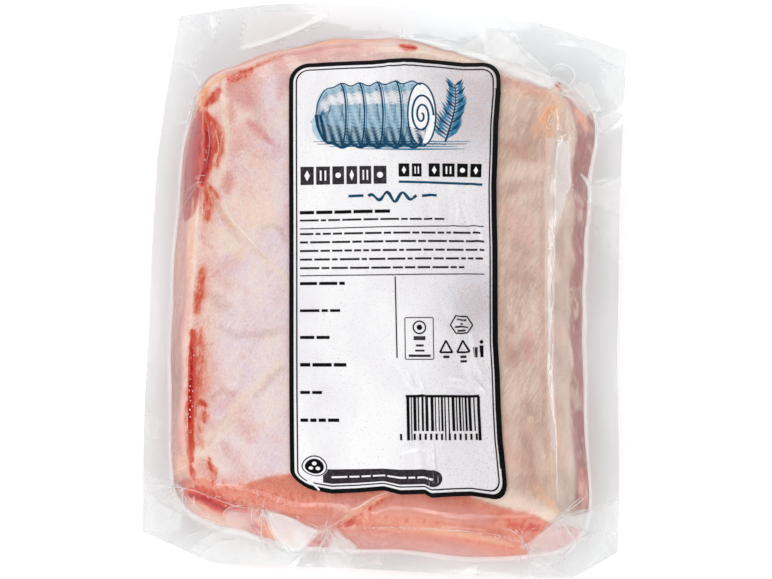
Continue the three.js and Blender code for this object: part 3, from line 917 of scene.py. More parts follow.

# %% [markdown]
# ### Painted sheen on the film
# Film that clings to wet meat is nearly invisible. On the flat facets between pleats, which have
# straight edges, the film shows broad pale reflections of the softboxes: over the near face, along
# the right-hand shoulder and in the rim. These reflections are painted, as a white haze in the
# film's finish, and one mark holds them.

# %% Facets of painted sheen
# Painted reflections: each facet below is painted pale on the film, as if it caught a softbox.
SHEEN_FACETS = [  # strength, softness of the edge, then the corners in order
    (1.15, 1.3, [(5, 95), (4, 100), (16.2, 99), (28.3, 96), (35.4, 102), (44.5, 103), (48.5, 99),
                 (52.5, 94), (58.5, 89), (63.4, 85), (66.3, 78.4), (61, 67.7), (43.2, 74.6),
                 (35.2, 79), (19.1, 85.4), (5, 90)]),
    (0.80, 1.2, [(60.7, 103), (76.8, 98.5), (80.8, 95), (86.7, 90), (95.7, 88), (95.9, 95), (84.9, 99),
                 (68.9, 106)]),
    (0.40, 2.0, [(84.6, 88), (93.7, 88), (92.2, 70), (86.4, 76)]),
    (0.90, 0.6, [(81.9, 58), (83.6, 66), (93.8, 71.6), (93.7, 68), (85.2, 60)]),
    (0.55, 0.5, [(70.7, 75.1), (75.4, 81), (79.4, 80), (84.2, 69), (81.7, 68), (77.3, 75)]),
    (0.85, 0.8, [(73.2, 38.4), (83, 38.4), (91.5, 42.4), (91.2, 27), (78.4, 31.4), (77.5, 35)]),
    (0.30, 2.5, [(78.4, 31), (91.2, 27), (90.7, 8), (81.1, 20)]),
    (0.60, 0.7, [(62.6, 47.8), (66.4, 47.8), (68.3, 51), (68.7, 33), (65.1, 23), (62, 13), (60.8, 13),
                 (61.9, 32.6)]),
    (0.40, 0.5, [(58.6, 48), (62.4, 48), (61.8, 14), (60.2, -10), (59.6, -25), (60.3, -50),
                 (60.4, -70), (58.6, -70), (57.8, -40), (57.3, -22), (57.6, 10)]),
    (0.60, 0.8, [(-57.8, 110), (-25.3, 110), (-27.3, 107), (-38.4, 101), (-51.5, 96), (-60.6, 94),
                 (-59.3, 101)]),
    (0.50, 0.6, [(-73.6, 110), (-69.9, 110), (-71.8, 99), (-73.6, 102)]),
    (0.25, 2.5, [(-95.2, 106), (-81, 108), (-73.7, 96), (-80.6, 88), (-92.8, 92)]),
    (0.40, 1.5, [(-95.9, -54), (-89.1, -56), (-89.9, -62), (-95.6, -63)]),
    (0.70, 0.6, [(-94.3, -77), (-82.8, -80), (-92.2, -83), (-95.1, -82)]),
    (0.50, 1.2, [(-94.1, -86), (-82.9, -81.9), (-77.4, -87.8), (-82.3, -98), (-93.7, -98)]),
    (0.95, 1.2, [(-76.4, -105), (-72.6, -101), (-63.2, -96.5), (-55.5, -97.9), (-48.7, -101.3),
                 (-41.9, -113), (-57.1, -113.5), (-68.6, -111)]),
    (0.90, 0.8, [(-48.6, -100.7), (-42, -106), (-32.4, -106), (-38.1, -113), (-43.8, -114)]),
    (0.95, 1.0, [(-26.7, -106), (-16.2, -106), (-14.3, -113), (-24.8, -113)]),
    (0.40, 1.5, [(-15.3, -107), (-3.8, -107), (-3.8, -111), (-14.3, -112)]),
    (0.80, 0.6, [(32.4, -111), (31.4, -117), (19, -118), (29.5, -112)]),
    (0.50, 0.35, [(-63.9, -95.8), (-61.4, -91.4), (-50.2, -91.9), (-48.2, -93.8), (-55.8, -99.2)]),
    (1.12, 0.5, [(-46.7, -91.6), (-41.8, -93.3), (-27.2, -99.1), (-34.4, -106), (-40.1, -106),
                 (-44.8, -99.7)]),
    (0.75, 0.5, [(-21.1, -98.5), (-13.2, -104), (-12, -106.7), (-24.8, -106.7)]),
    (0.75, 0.4, [(52.1, -103.2), (58.2, -102.7), (59.1, -106.7), (55.7, -106.7)]),
    (0.90, 0.7, [(62.2, -94.2), (70.6, -92), (87.3, -86), (87, -99), (76.9, -98.2), (64, -96.7)]),
    (0.30, 0.8, [(62.1, -102), (69.2, -102.7), (80, -98.2), (84.4, -105), (70, -115.8), (65.2, -108)]),
    (0.72, 1.0, [(61.5, -94.6), (50.8, -103.4), (52.6, -110.5), (60, -112), (68, -106.5), (76, -99),
                 (78, -91.5), (70, -92.6)]),
    (0.60, 0.9, [(64.6, 71.5), (70, 76.5), (77, 75), (80, 67), (76, 62), (70, 65)]),
    (0.40, 1.5, [(-79, -85), (-72, -90), (-62, -94), (-60, -99), (-70, -97.5), (-78, -91)]),
    (0.35, 0.8, [(-58.5, -90.5), (-48.6, -92), (-47, -98), (-52, -101), (-55, -97)]),
]
print(len(SHEEN_FACETS), "loose facets")

# %% How strong the painted sheen is


def inside(x, y, corners):
    """Which places lie inside an outline: those with an odd number of its sides beyond them."""
    within = np.zeros(x.shape, bool)
    for (ax, ay), (bx, by) in zip(corners, corners[1:] + corners[:1]):
        crosses = (ay > y) != (by > y)
        within ^= crosses & (x < ax + (bx - ax) * (y - ay) / ((by - ay) or 1e-9))
    return within


def painted_film_sheen(points):
    """The mark of painted sheen: how strongly pale reflections are painted on the film at each point."""
    painted_sheen = np.zeros(points.shape[:-1])
    for strength, soft, corners in SHEEN_FACETS:
        near = close_to(points[..., 0], points[..., 1], corners, soft + 1)
        x, y, _ = points[near].T
        gap = path_distance(x, y, corners + corners[:1])[0]
        soft = np.maximum(soft, 0.008 * np.hypot(x, y))  # the spokes are further apart out here
        depth = np.where(inside(x, y, corners), gap, -gap) + 0.5 * soft * lumps(x, y, 0 * x, 4, 15)
        uneven = 0.8 + 0.12 * rough(x, y, 0 * x, 5, 16) + 0.2 * lumps(x, y, 0 * x, 16, 17)
        painted_sheen[near] = np.maximum(painted_sheen[near], strength * uneven * soft_step(depth, -soft, soft))
    return painted_sheen


# %% Points of the film


def rim_front_point(turn, share):
    """The upper sheet leaves the wall in a soft curve before it lies flat in the rim."""
    place = rim_point(turn, share)
    out = np.hypot(place[..., 0], place[..., 1]) - around(foot_radius, turn)
    place[..., 2] += 1.5 * np.exp(-out / 0.7)
    return place


SHEET_GAP = 0.25  # between the two sheets in the rim
LOWER_SHEET_DROP = 0.45  # of the lower sheet under the meat's turned-in wall
FILM_SOLE = 0.05  # height of the film's underside


def rim_back_point(turn, share):
    """The lower sheet lies a little under the upper one, and meets it at the weld."""
    place = rim_point(turn, 1 - share)
    place[..., 2] -= SHEET_GAP * np.minimum(1, share * 8)
    return place


def lower_point(turn, share):
    place = loin_lower_point(turn, share)
    start = rim_back_point(turn, np.ones_like(share))
    sink = soft_step(share, 0, 0.35)[..., None]
    place[..., 2] -= LOWER_SHEET_DROP
    return start * (1 - sink) + place * sink


def under_point(turn, share):
    place = loin_under_point(turn, share)
    place[..., 2] = FILM_SOLE
    return place


# %% The two sheets


def film_sheet(name, stretches, outward, on_meat):
    """One sheet of the pouch. Outward is each ring's share of the way out along the rim."""
    base = stack_rings(stretches)
    push = facing(base)
    reach = np.repeat(outward[:, None], SPOKES, 1)
    in_rim = reach > 0
    push[in_rim] = (0, 0, 1)
    x, y = base[..., 0], base[..., 1]
    relief = meat_relief(base, 0)
    clinging = on_meat * (pleat_relief(x, y) + np.maximum(relief, 0.8 * relief))
    raised = np.where(in_rim, pleat_relief(x, y) + rim_waves(base, reach) + bubble_relief(x, y), clinging)
    points = base + push * raised[..., None]
    points[..., 2] = np.maximum(points[..., 2], FILM_SOLE)
    # The rim mark is the real milkiness of the doubled film; the other mark is painted sheen.
    film_marks = {"rim": soft_step(reach, 0, 0.12), "painted_sheen": painted_film_sheen(base)}
    sheet = roll_grid(name, points, film_marks)
    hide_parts("sealed_pack")
    return sheet


TOP_RINGS, WALL_RINGS, RIM_RINGS = 44, 34, 46
film_front = film_sheet(
    "film_front",
    [(top_point, 0, 1, TOP_RINGS), (wall_point, 0.04, 1, WALL_RINGS), (rim_front_point, 0, 1, RIM_RINGS)],
    np.concatenate([np.zeros(TOP_RINGS + WALL_RINGS), np.linspace(0.004, 1, RIM_RINGS)]),
    1.0,
)
BACK_RIM_RINGS, LOWER_RINGS, UNDER_RINGS = 12, 10, 6
film_back = film_sheet(
    "film_back",
    [(rim_back_point, 0, 1, BACK_RIM_RINGS), (lower_point, 0.1, 1, LOWER_RINGS),
     (under_point, 0.14, 1, UNDER_RINGS)],
    np.concatenate([np.linspace(1, 0.01, BACK_RIM_RINGS), np.zeros(LOWER_RINGS + UNDER_RINGS)]),
    0.0,
)

# %% [markdown]
# ### Creases pressed flat
# On top of each pleat the film is folded over on itself and pressed flat by the vacuum. That
# leaves a hard line less than a millimetre wide, which catches the light far better than the
# pleat under it. Each line's crest is also painted pale, a painted highlight. Each line is a narrow
# strip with a leaning crest, laid on the finished film: a ray is dropped on to the film at every
# station along the path, and the strip's cross section is built there, square to the film.

# %% Crease lines
film_tree = BVHTree.FromObject(film_front, bpy.context.evaluated_depsgraph_get())
CREST_SECTION = [
    (-1.0, -0.08), (-0.45, 0.3), (-0.1, 0.85), (0.12, 1.0), (0.3, 0.8), (0.55, 0.25), (1.0, -0.08),
]


def on_film(x, y):
    """The point of the film at a place seen from above, and the way it faces there."""
    place, normal = film_tree.ray_cast(Vector((x * MM, y * MM, ABOVE)), Vector((0, 0, -1)))[:2]
    return (None, None) if place is None else (np.array(place) / MM, np.array(normal))


def add_crease(shape, layer, path, half_width, height, crest_sheen):
    """Lays one crease line on the film along a path."""
    path = smooth_path(path, 0.5)
    inner = path[1:-1]
    inner += 0.12 * np.stack([lumps(*inner.T, 0 * inner[:, 0], 2.6, seed) for seed in (7, 8)], 1)
    stations = [on_film(x, y) for x, y in path]
    stations = [(place, normal) for place, normal in stations if place is not None]
    if len(stations) < 4:
        return
    places, normals = (np.array(rows) for rows in zip(*stations))
    ways = np.gradient(places, axis=0)
    across = np.cross(normals, ways)
    across /= np.maximum(np.linalg.norm(across, axis=1, keepdims=True), 1e-9)
    taper = np.sin(math.pi * np.linspace(0.04, 0.96, len(places))) ** 0.6
    taper = taper * np.clip(0.62 + 0.75 * lumps(*places.T, 4.5, 18), 0.08, 1.15)
    rows = []
    for side, rise in CREST_SECTION:
        offset = across * (side * half_width * taper)[:, None] + normals * (rise * height * taper)[:, None]
        rows.append(places + offset)
    for vertex, row in lay_grid(shape, np.array(rows)):
        # painted highlight: the crest rows are painted pale, the foot rows not at all
        vertex[layer] = crest_sheen * max(CREST_SECTION[row][1], 0)


def crinkles(place, count, reach):
    """Short creases that lie any way round a pucker, where the film is crushed."""
    for _ in range(count):
        angle, distance = draw.uniform(0, 2 * math.pi), draw.uniform(0.5, reach)
        heading, length = draw.uniform(0, 2 * math.pi), draw.uniform(2.0, 5.5)
        x, y = place[0] + distance * math.cos(angle), place[1] + distance * math.sin(angle)
        dx, dy = length * math.cos(heading), length * math.sin(heading)
        yield [(x, y), (x + dx / 2 - dy * 0.12, y + dy / 2 + dx * 0.12), (x + dx, y + dy)]


def make_crease_lines():
    shape = bmesh.new()
    layer = shape.verts.layers.float.new("painted_sheen")
    for path, width, height in creases:
        # the last number is how strongly each crest is painted pale as a highlight
        add_crease(shape, layer, path, 0.22 * width, 0.6 * height, min(0.75, 1.5 * height))
    for place, _, _, count, height in PUCKERS:
        for path in crinkles(place, 2 * count, 6):
            add_crease(shape, layer, path, 0.3, 0.35 * height, 0.75)
    bmesh.ops.recalc_face_normals(shape, faces=shape.faces)
    lines = finish_piece("film_creases", shape)
    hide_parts("sealed_pack")
    return lines


film_creases = make_crease_lines()

# %% [markdown]
# ### Bubbles under the film
# Small bubbles of air stay caught in the juice along the creases. Each is a flat dome, a few
# tenths of a millimetre across, painted pale all over as a highlight, and they are all joined in
# one piece.

# %% Trapped bubbles
BUBBLE_TRAILS = [  # path, how far they stray from it, how many
    ([(64, 65), (61.5, 59), (59.2, 51)], 2.0, 46),
    ([(62.4, 48), (63.1, 30), (62.2, 12)], 2.2, 30),
    ([(-16.8, -97.8), (3.8, -98), (26.8, -99.6), (48.8, -102.8)], 0.8, 110),
    ([(-77.2, -82.5), (-63.3, -88.6), (-48, -91.5), (-32.5, -96)], 1.3, 46),
    ([(-69.9, 57), (-69.1, 46), (-71.4, 31)], 0.8, 9),
    ([(-74.1, -30), (-74.3, -50), (-74.6, -70)], 1.2, 20),
    ([(69.6, 40), (69.8, 0), (70, -40)], 2.5, 40),
    ([(-76.2, 70), (-66.3, 76), (-50.3, 84)], 1.4, 24),
]


def add_bubble(shape, place, normal, radius):
    turned = Vector(normal).to_track_quat("Z", "Y").to_matrix().to_4x4()
    turned.translation = Vector(place * MM)
    made = bmesh.ops.create_icosphere(shape, subdivisions=1, radius=radius * MM)
    bmesh.ops.scale(shape, vec=(1, 1, 0.55), verts=made["verts"])
    bmesh.ops.transform(shape, matrix=turned, verts=made["verts"])


def make_bubbles():
    shape = bmesh.new()
    layer = shape.verts.layers.float.new("painted_sheen")
    for path, stray, count in BUBBLE_TRAILS:
        trail = smooth_path(path, 0.4)
        for _ in range(count):
            x, y = trail[draw.randrange(len(trail))]
            place, normal = on_film(x + draw.gauss(0, stray / 2), y + draw.gauss(0, stray / 2))
            add_bubble(shape, place, normal, draw.uniform(0.12, 0.34))
    # painted highlight: every bubble is painted pale
    for vertex in shape.verts:
        vertex[layer] = 0.6
    bubbles = finish_piece("trapped_bubbles", shape)
    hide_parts("sealed_pack")
    return bubbles


trapped_bubbles = make_bubbles()

# %% [markdown]
# ### The blister
# Beside the far right corner of the meat the film has kept one large bubble. Its edge is a bead
# and its top a flat dome, and the bead is painted pale as a highlight. The profile is spun round,
# then drawn out towards the corner.

# %% Blister
BLISTER_PROFILE = [  # distance from the middle as a share, and height in mm
    (1.14, -0.5), (1.08, 0.1), (1.0, 0.5), (0.93, 0.42), (0.84, 0.5), (0.6, 0.85), (0.3, 1.1), (0.0, 1.2),
]


def make_blister():
    shape = bmesh.new()
    rim_verts = [shape.verts.new((reach * BUBBLE_RADIUS, 0, height)) for reach, height in BLISTER_PROFILE]
    edges = [shape.edges.new(pair) for pair in zip(rim_verts, rim_verts[1:])]
    bmesh.ops.spin(
        shape, geom=rim_verts + edges, cent=(0, 0, 0), axis=(0, 0, 1), angle=2 * math.pi, steps=56,
        use_merge=True,
    )
    bmesh.ops.remove_doubles(shape, verts=shape.verts, dist=0.001)
    layer = shape.verts.layers.float.new("painted_sheen")
    for vertex in shape.verts:
        # painted highlight: the bead round the edge is painted pale
        vertex[layer] = bump(vertex.co.xy.length / BUBBLE_RADIUS, 1.0, 0.08)
        towards = max(0.0, -vertex.co.y / BUBBLE_RADIUS)
        vertex.co.x *= 1 - 0.45 * towards**2
        vertex.co.y *= 1.0 + 0.5 * towards**2
        x, y = BUBBLE_CENTRE[0] + vertex.co.x - 1.2 * towards, BUBBLE_CENTRE[1] + vertex.co.y
        place, _ = on_film(x, y)
        vertex.co = (x * MM, y * MM, (place[2] + vertex.co.z) * MM)
    bmesh.ops.recalc_face_normals(shape, faces=shape.faces)
    blister = finish_piece("film_blister", shape)
    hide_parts("sealed_pack")
    return blister


film_blister = make_blister()

# %% [markdown]
# ## The label's paper
# The label is white coated paper with rounded corners. It was stuck on after the air was drawn
# out, so it lies on the film, but the film moved later and left the paper with soft creases.
# Label places are given as (u, v): millimetres to the right of and up from its middle.

# %% Label paper
LABEL_HALF = np.array([39.25, 83.25])
LABEL_CORNER = 8
LABEL_MIDDLE = (label_low[:2] + label_high[:2]) / 2
LABEL_LEAN = -0.012
LABEL_LIFT = 0.45  # over the film's plain surface, clear of the film's own relief
PAPER_THICKNESS = 0.12
PAPER_COLUMNS, PAPER_ROWS = 150, 312
EDGE_ROW_IN = 0.02  # the last rows stop this short of the ends, where the outline is straight
EDGE_CROWDING = 1.04  # above 1, rows lie closer together near the ends
PAPER_FOLDS = [  # path in (u, v), width, height
    ([(-1, 83), (-2, 70), (-1, 58)], 2.4, 1.0),
    ([(4.5, 83), (5, 72), (4, 62)], 2.0, 0.9),
    ([(22, 32), (23, 24), (22, 16)], 2.4, 1.0),
    ([(12, 34), (15, 26), (14, 18)], 2.2, 0.8),
    ([(30, 34), (27, 26), (31, 16), (33, 4)], 2.4, 1.0),
    ([(21.7, -14.7), (23.3, -17.2), (27.6, -23.4), (28.5, -29), (28.8, -34), (31.3, -39), (36, -44)],
     1.9, 2.2),
    ([(18, -9), (20, -14), (23.6, -20), (25, -27)], 2.6, 1.2),
    ([(27.4, -32), (28.4, -40), (33, -48)], 3.0, 1.7),
    ([(-0.1, -33.4), (2.9, -36.8), (4.2, -40.2), (6.6, -43.3), (9.7, -45.8), (12.8, -55)], 1.6, 1.4),
    ([(7.4, -38.7), (10, -46.2)], 1.3, 1.2),
    ([(11.6, -60), (12.6, -71), (13.6, -83)], 1.9, 1.5),
    ([(15, -60), (16, -71), (17, -82)], 1.8, 0.9),
    ([(7, -63), (8.6, -72), (10, -80)], 2.0, 1.1),
    ([(1.9, -66), (7, -64.8), (13, -65.2)], 1.5, 1.2),
    ([(18, -40.4), (25, -41.6), (33.4, -43.6)], 2.4, 1.1),
    ([(-34, -8), (-24, -9), (-14, -7)], 3.0, 0.2),
]
print("label, flat:", 2 * LABEL_HALF, "mm, with", len(PAPER_FOLDS), "folds")

# %% Relief of the paper


def soft_crest(gap, along, width):
    """A rounded crest, as paper makes, that dies away at both ends."""
    return soft_step(width - gap, 0, width) * np.sin(math.pi * np.clip(along * 0.94 + 0.03, 0, 1)) ** 0.5


def paper_relief(u, v):
    flat = np.zeros(u.shape)
    slack = 0.35 + 0.65 * soft_step(u, -10, 25)
    relief = slack * (0.45 * lumps(u, v, flat, 15, 91) + 0.14 * lumps(u, v, flat, 6, 92))
    for path, width, height in PAPER_FOLDS:
        gap, along = path_distance(u, v, path)
        relief = relief + height * soft_crest(gap, along, width)
    return relief


# %% Where the paper has crept to
# How far its edges have crept, as (place along the edge, creep), in mm.
NEAR_CREEP = [(-39, 4.6), (-34.8, 4.1), (-30, 3.0), (-24, 1.9), (-14.6, 2.3), (-5, 3.1), (1, 1.6),
              (10, 1.8), (12.5, 0.4), (20, 0.9), (26, 1.1), (32, 0.1), (39, -2.6)]
FAR_CREEP = [(-39, -1.2), (-30, -1.0), (-20, -0.4), (-8, 0.2), (2, 1.3), (8, 1.5), (17, 0.7), (26, -0.4),
             (31, -0.3), (39, 1.0)]
RIGHT_CREEP = [(-83, 1.9), (-74, 0.7), (-62, -0.4), (-50, -0.8), (-38, -0.9), (-26, -1.4), (-14, -1.2),
               (10, -0.7), (22, -0.7), (34, -0.5), (46, 0.2), (58, 0.8), (70, 2.1), (83, 2.4)]


def settle(u, v):
    """Where a place on the printed label ends up on the pack, seen from above."""
    near_end, far_end = soft_step(-v, 68, 83), soft_step(v, 58, 83)
    along = near_end * np.interp(u, *zip(*NEAR_CREEP)) + far_end * np.interp(u, *zip(*FAR_CREEP))
    side = np.interp(v, *zip(*RIGHT_CREEP)) * soft_step(u, 8, 39)
    x = LABEL_MIDDLE[0] + u + LABEL_LEAN * v + side
    y = LABEL_MIDDLE[1] + v + along
    return x, y


def label_height(u, v):
    x, y = settle(u, v)
    flat = np.zeros(np.shape(x))
    body = 0.45 * rough(x, y, flat + 46, 21, 3)
    return top_surface(x, y) + 0.8 * body + LABEL_LIFT + paper_relief(u, v)


def on_label(u, v, lift=0.0):
    x, y = settle(u, v)
    return np.stack([x, y, label_height(u, v) + lift], -1)


# %% Making the label


def label_reach(v):
    """Half the label's width at a place along it, less round the corners."""
    into = np.clip(np.abs(v) - (LABEL_HALF[1] - LABEL_CORNER), 0, LABEL_CORNER)
    return LABEL_HALF[0] - LABEL_CORNER + np.sqrt(LABEL_CORNER**2 - into**2)


def paper_shade_and_speckle(u, v):
    """How much painted shade greys the paper, and how thickly damp specks it: most at the right and at the
    corners.
    """
    corner = np.maximum(soft_step(v, 30, 62), 0.06 * bump(np.hypot(u - 34, v + 76), 0, 20))
    patch = bump(np.hypot(u - 30, v + 12), 0, 22)
    return soft_step(u + 6 * lumps(u, v, 0 * u, 24, 93), -12, 34) * (0.4 + 0.6 * np.maximum(corner, patch))


def make_label_paper():
    sheet = bmesh.new()
    bmesh.ops.create_grid(sheet, x_segments=PAPER_COLUMNS, y_segments=PAPER_ROWS, size=1)
    shade_and_speckle = sheet.verts.layers.float.new("shade_and_speckle")
    flat = np.array([v.co for v in sheet.verts])
    v = flat[:, 1] * LABEL_HALF[1]
    spread = 1 - (1 - np.abs(v) / LABEL_HALF[1]) ** EDGE_CROWDING
    v = np.sign(v) * (LABEL_HALF[1] - EDGE_ROW_IN) * spread
    u = flat[:, 0] * label_reach(v)
    # each vertex holds how much painted shade greys it and how thickly it is specked
    for vertex, place, age in zip(sheet.verts, on_label(u, v), paper_shade_and_speckle(u, v)):
        vertex.co = place * MM
        vertex[shade_and_speckle] = age
    bmesh.ops.recalc_face_normals(sheet, faces=sheet.faces)
    bmesh.ops.solidify(sheet, geom=sheet.faces[:], thickness=PAPER_THICKNESS * MM)
    bmesh.ops.recalc_face_normals(sheet, faces=sheet.faces)
    piece = finish_piece("label_paper", sheet)
    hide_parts("label")
    return piece


label = make_label_paper()

# %% [markdown]
# ## The print
# Ink lies on the paper in thin, crisp shapes. Each shape is a ribbon: a flat strip with a path
# and a width, cut into short lengths so that it bends with the paper. Lettering, the picture and
# the marks of other firms are replaced with plain bars, simple shapes and a picture of a tied
# joint with a sprig, in the same places and tones.

# %% Ribbons of ink
INK_STEP = 0.55  # a ribbon is cut into pieces no longer or wider than this
HAIRLINE = 0.01  # the least width of a disc's ends, so that no faces collapse
RING_SIDES = 24
WORD_LENGTHS, WORD_GAP = (1.8, 7.5), 0.8


def ribbon(ink, path, widths):
    """Adds a strip of ink along a path in (u, v), as wide as asked at each of its points."""
    path = np.array(path, float)
    widths = np.broadcast_to(np.array(widths, float), len(path))
    lengths = np.hypot(*np.diff(path, axis=0).T)
    walked = np.concatenate([[0], np.cumsum(lengths)])
    count = max(1, math.ceil(walked[-1] / INK_STEP))
    stations = np.linspace(0, walked[-1], count + 1)
    if len(path) > 2:
        stations = np.unique(np.concatenate([stations, walked]).round(4))
    u, v, width = (np.interp(stations, walked, row) for row in (path[:, 0], path[:, 1], widths))
    du, dv = np.gradient(u), np.gradient(v)
    size = np.maximum(np.hypot(du, dv), 1e-9)
    across = max(1, math.ceil(width.max() / INK_STEP))
    offsets = np.linspace(-0.5, 0.5, across + 1)[:, None] * width
    ink.append(np.stack([u - dv / size * offsets, v + du / size * offsets], -1))


def print_piece(name, layers, slot):
    """Makes one piece from layers of ink, each a list of ribbons and its lift off the paper."""
    shape = bmesh.new()
    for ink, lift in layers:
        for strip in ink:
            lay_grid(shape, on_label(strip[..., 0], strip[..., 1], lift))
    bmesh.ops.dissolve_degenerate(shape, edges=shape.edges, dist=0.000005)
    piece = finish_piece(name, shape)
    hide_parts("label")
    return piece


# %% Bars, discs, rings and lines of print


def bar(ink, u0, u1, v, height):
    ribbon(ink, [(u0, v), (u1, v)], height)


def disc(ink, u, v, radius):
    turns = np.linspace(math.pi, 0, 13)
    path = [(u + radius * math.cos(t), v) for t in turns]
    ribbon(ink, path, [2 * radius * math.sin(t) + HAIRLINE for t in turns])


def ring(ink, u, v, radius, width):
    turns = [2 * math.pi * i / RING_SIDES for i in range(RING_SIDES + 1)]
    ribbon(ink, [(u + radius * math.cos(t), v + radius * math.sin(t)) for t in turns], width)


def frame_line(ink, inset, width):
    """A line that follows the label's outline at a distance from its edge."""
    half_u, half_v = LABEL_HALF - inset
    corner = max(LABEL_CORNER - inset, 1)
    path = []
    for quarter, (su, sv) in enumerate(((1, 1), (-1, 1), (-1, -1), (1, -1))):
        for turn in np.linspace(0, 1, 9):
            angle = (quarter + turn) * math.pi / 2
            u = su * (half_u - corner) + corner * math.cos(angle)
            v = sv * (half_v - corner) + corner * math.sin(angle)
            path.append((u, v))
    path.append(path[0])
    ribbon(ink, path, width)


def line_of_print(ink, u0, u1, v, height):
    """A line of small print, drawn only as its rhythm: each word is a plain bar."""
    u = u0
    while u < u1 - 1:
        width = min(print_draw.uniform(*WORD_LENGTHS), u1 - u)
        bar(ink, u, u + width, v, height)
        u += width + WORD_GAP


print_draw = random.Random(5)
black, charcoal, blue, deep_blue, tint, pale, pale_top = [[] for _ in range(7)]
print("ribbons bend every", INK_STEP, "mm")

# %% [markdown]
# ### Frame, rules and lines
# The border is a heavy line at the paper's edge with a thin one inside it. Two rules and an
# upright line divide the label into a text block and a form.

# %% Frame, rules and lines
frame_line(black, 0.85, 1.66)
frame_line(black, 2.85, 0.5)
ribbon(black, [(37.4, -72), (37.4, 72)], 0.4)
TEXT_LEFT, TEXT_RIGHT = -35.2, 34.2
ribbon(charcoal, [(TEXT_LEFT, 17.0), (TEXT_RIGHT, 17.6)], 0.4)
ribbon(charcoal, [(TEXT_LEFT, -1.0), (TEXT_RIGHT, -0.6)], 0.4)
ribbon(charcoal, [(0.2, -1.5), (0.5, -31.9)], 0.5)


# %% Friezes and lines


def frieze(ink, u, v, widths, height, gap):
    """A row of solid blocks, each with a pale lozenge, slit or dot cut out of it."""
    for number, width in enumerate(widths):
        ribbon(ink, [(u, v + 0.008 * number), (u + width, v + 0.008 * number)], height)
        middle = u + width / 2
        if number % 3 == 0:
            lozenge = [(middle, v - height * 0.3), (middle, v), (middle, v + height * 0.3)]
            ribbon(pale_top, lozenge, [0.05, width * 0.42, 0.05])
        elif number % 3 == 1:
            for at in (middle - width * 0.17, middle + width * 0.17):
                ribbon(pale_top, [(at, v - height * 0.28), (at, v + height * 0.28)], width * 0.13)
        else:
            disc(pale_top, middle, v, width * 0.24)
        u += width + gap


frieze(charcoal, TEXT_LEFT + 0.3, 37.3, (5.0, 5.2, 4.4, 4.0, 4.4, 4.8), 7.0, 0.9)
frieze(black, 2.0, 39.2, (4.0, 3.6), 5.2, 1.0)
frieze(black, 13.3, 39.2, (4.2, 4.6, 4.0, 4.2), 5.2, 1.0)
ribbon(deep_blue, [(2.0, 34.6), (33.8, 33.8)], 0.9)
for start in (-16.9, 10.6):
    ribbon(deep_blue, [(start, 29.2), (start + 5.6, 29.3)], 1.0)
flourish = [
    (u, 28.8 + 2.1 * math.sin((u + 10) * 1.05) * (1 - abs(u) / 14)) for u in np.linspace(-9.5, 8.5, 40)
]
ribbon(deep_blue, flourish, [0.7 + 0.5 * abs(math.sin(u * 0.9)) for u, _ in flourish])

line_of_print(black, TEXT_LEFT, -1.4, 23.2, 1.25)
line_of_print(charcoal, TEXT_LEFT, 19, 20.2, 0.75)
for number, v in enumerate((15.0, 11.8, 8.5, 5.2, 1.9)):
    line_of_print(charcoal, TEXT_LEFT, TEXT_RIGHT if number < 4 else 26.5, v, 0.8)
for v, end, height in (
    (-4.0, -16.8, 1.15), (-14.3, -20.2, 1.0), (-24.4, -24.3, 1.15),
    (-34.6, -18.2, 1.3), (-44.8, -25.8, 1.1), (-54.9, -21.0, 1.2),
):
    line_of_print(black, TEXT_LEFT, end, v, height)
print(len(black), "black and", len(charcoal), "charcoal ribbons")

# %% [markdown]
# ### Boxes, bars and the band at the foot
# The packaging marks are plain outlines: a rounded box, a hexagon, two triangles, a bin and a post.
# The bar block is made up, and its row of digits is a row of ticks.

# %% Packaging marks


def outline(ink, corners, width):
    ribbon(ink, list(corners) + [corners[0]], width)


rounded_box = [
    (3.85, -16.95), (13.85, -16.95), (14.15, -17.35), (14.15, -32.0),
    (13.85, -32.4), (3.85, -32.4), (3.55, -32.0), (3.55, -17.35),
]
outline(charcoal, rounded_box, 0.35)
BOX_RING = (8.9, -20.6)
ring(black, *BOX_RING, 2.3, 0.5)
disc(black, *BOX_RING, 1.0)
bar(charcoal, 6.7, 11.1, -24.6, 1.5)
bar(charcoal, 7.5, 10.4, -27.3, 0.8)
bar(charcoal, 7.2, 10.7, -29.2, 0.7)
bar(charcoal, 4.8, 13.0, -31.1, 0.9)
HEX_U, HEX_V = 25.2, -19.7
sixths = np.arange(6) * math.pi / 3
outline(black, [(HEX_U + 4.4 * math.cos(t), HEX_V + 3.7 * math.sin(t)) for t in sixths], 0.5)
for v, half in ((-17.9, 1.9), (-19.6, 0.5), (-20.6, 2.6), (-22.0, 1.6)):
    bar(charcoal, HEX_U - half, HEX_U + half, v, 0.7)
for u in (19.0, 25.7):
    outline(black, [(u, -25.5), (u + 2.4, -29.8), (u - 2.4, -29.8)], 0.7)
    bar(charcoal, u - 1.2, u + 1.2, -31.5, 1.0)
bar(charcoal, 24.4, 27.0, -33.2, 0.9)
ribbon(charcoal, [(30.5, -27.9), (30.5, -31.7)], [1.9, 1.3])
ribbon(black, [(32.9, -27.2), (32.9, -31.6)], [1.6, 1.1])
disc(black, 33.0, -25.9, 0.7)
print("hexagon's middle:", HEX_U, HEX_V)

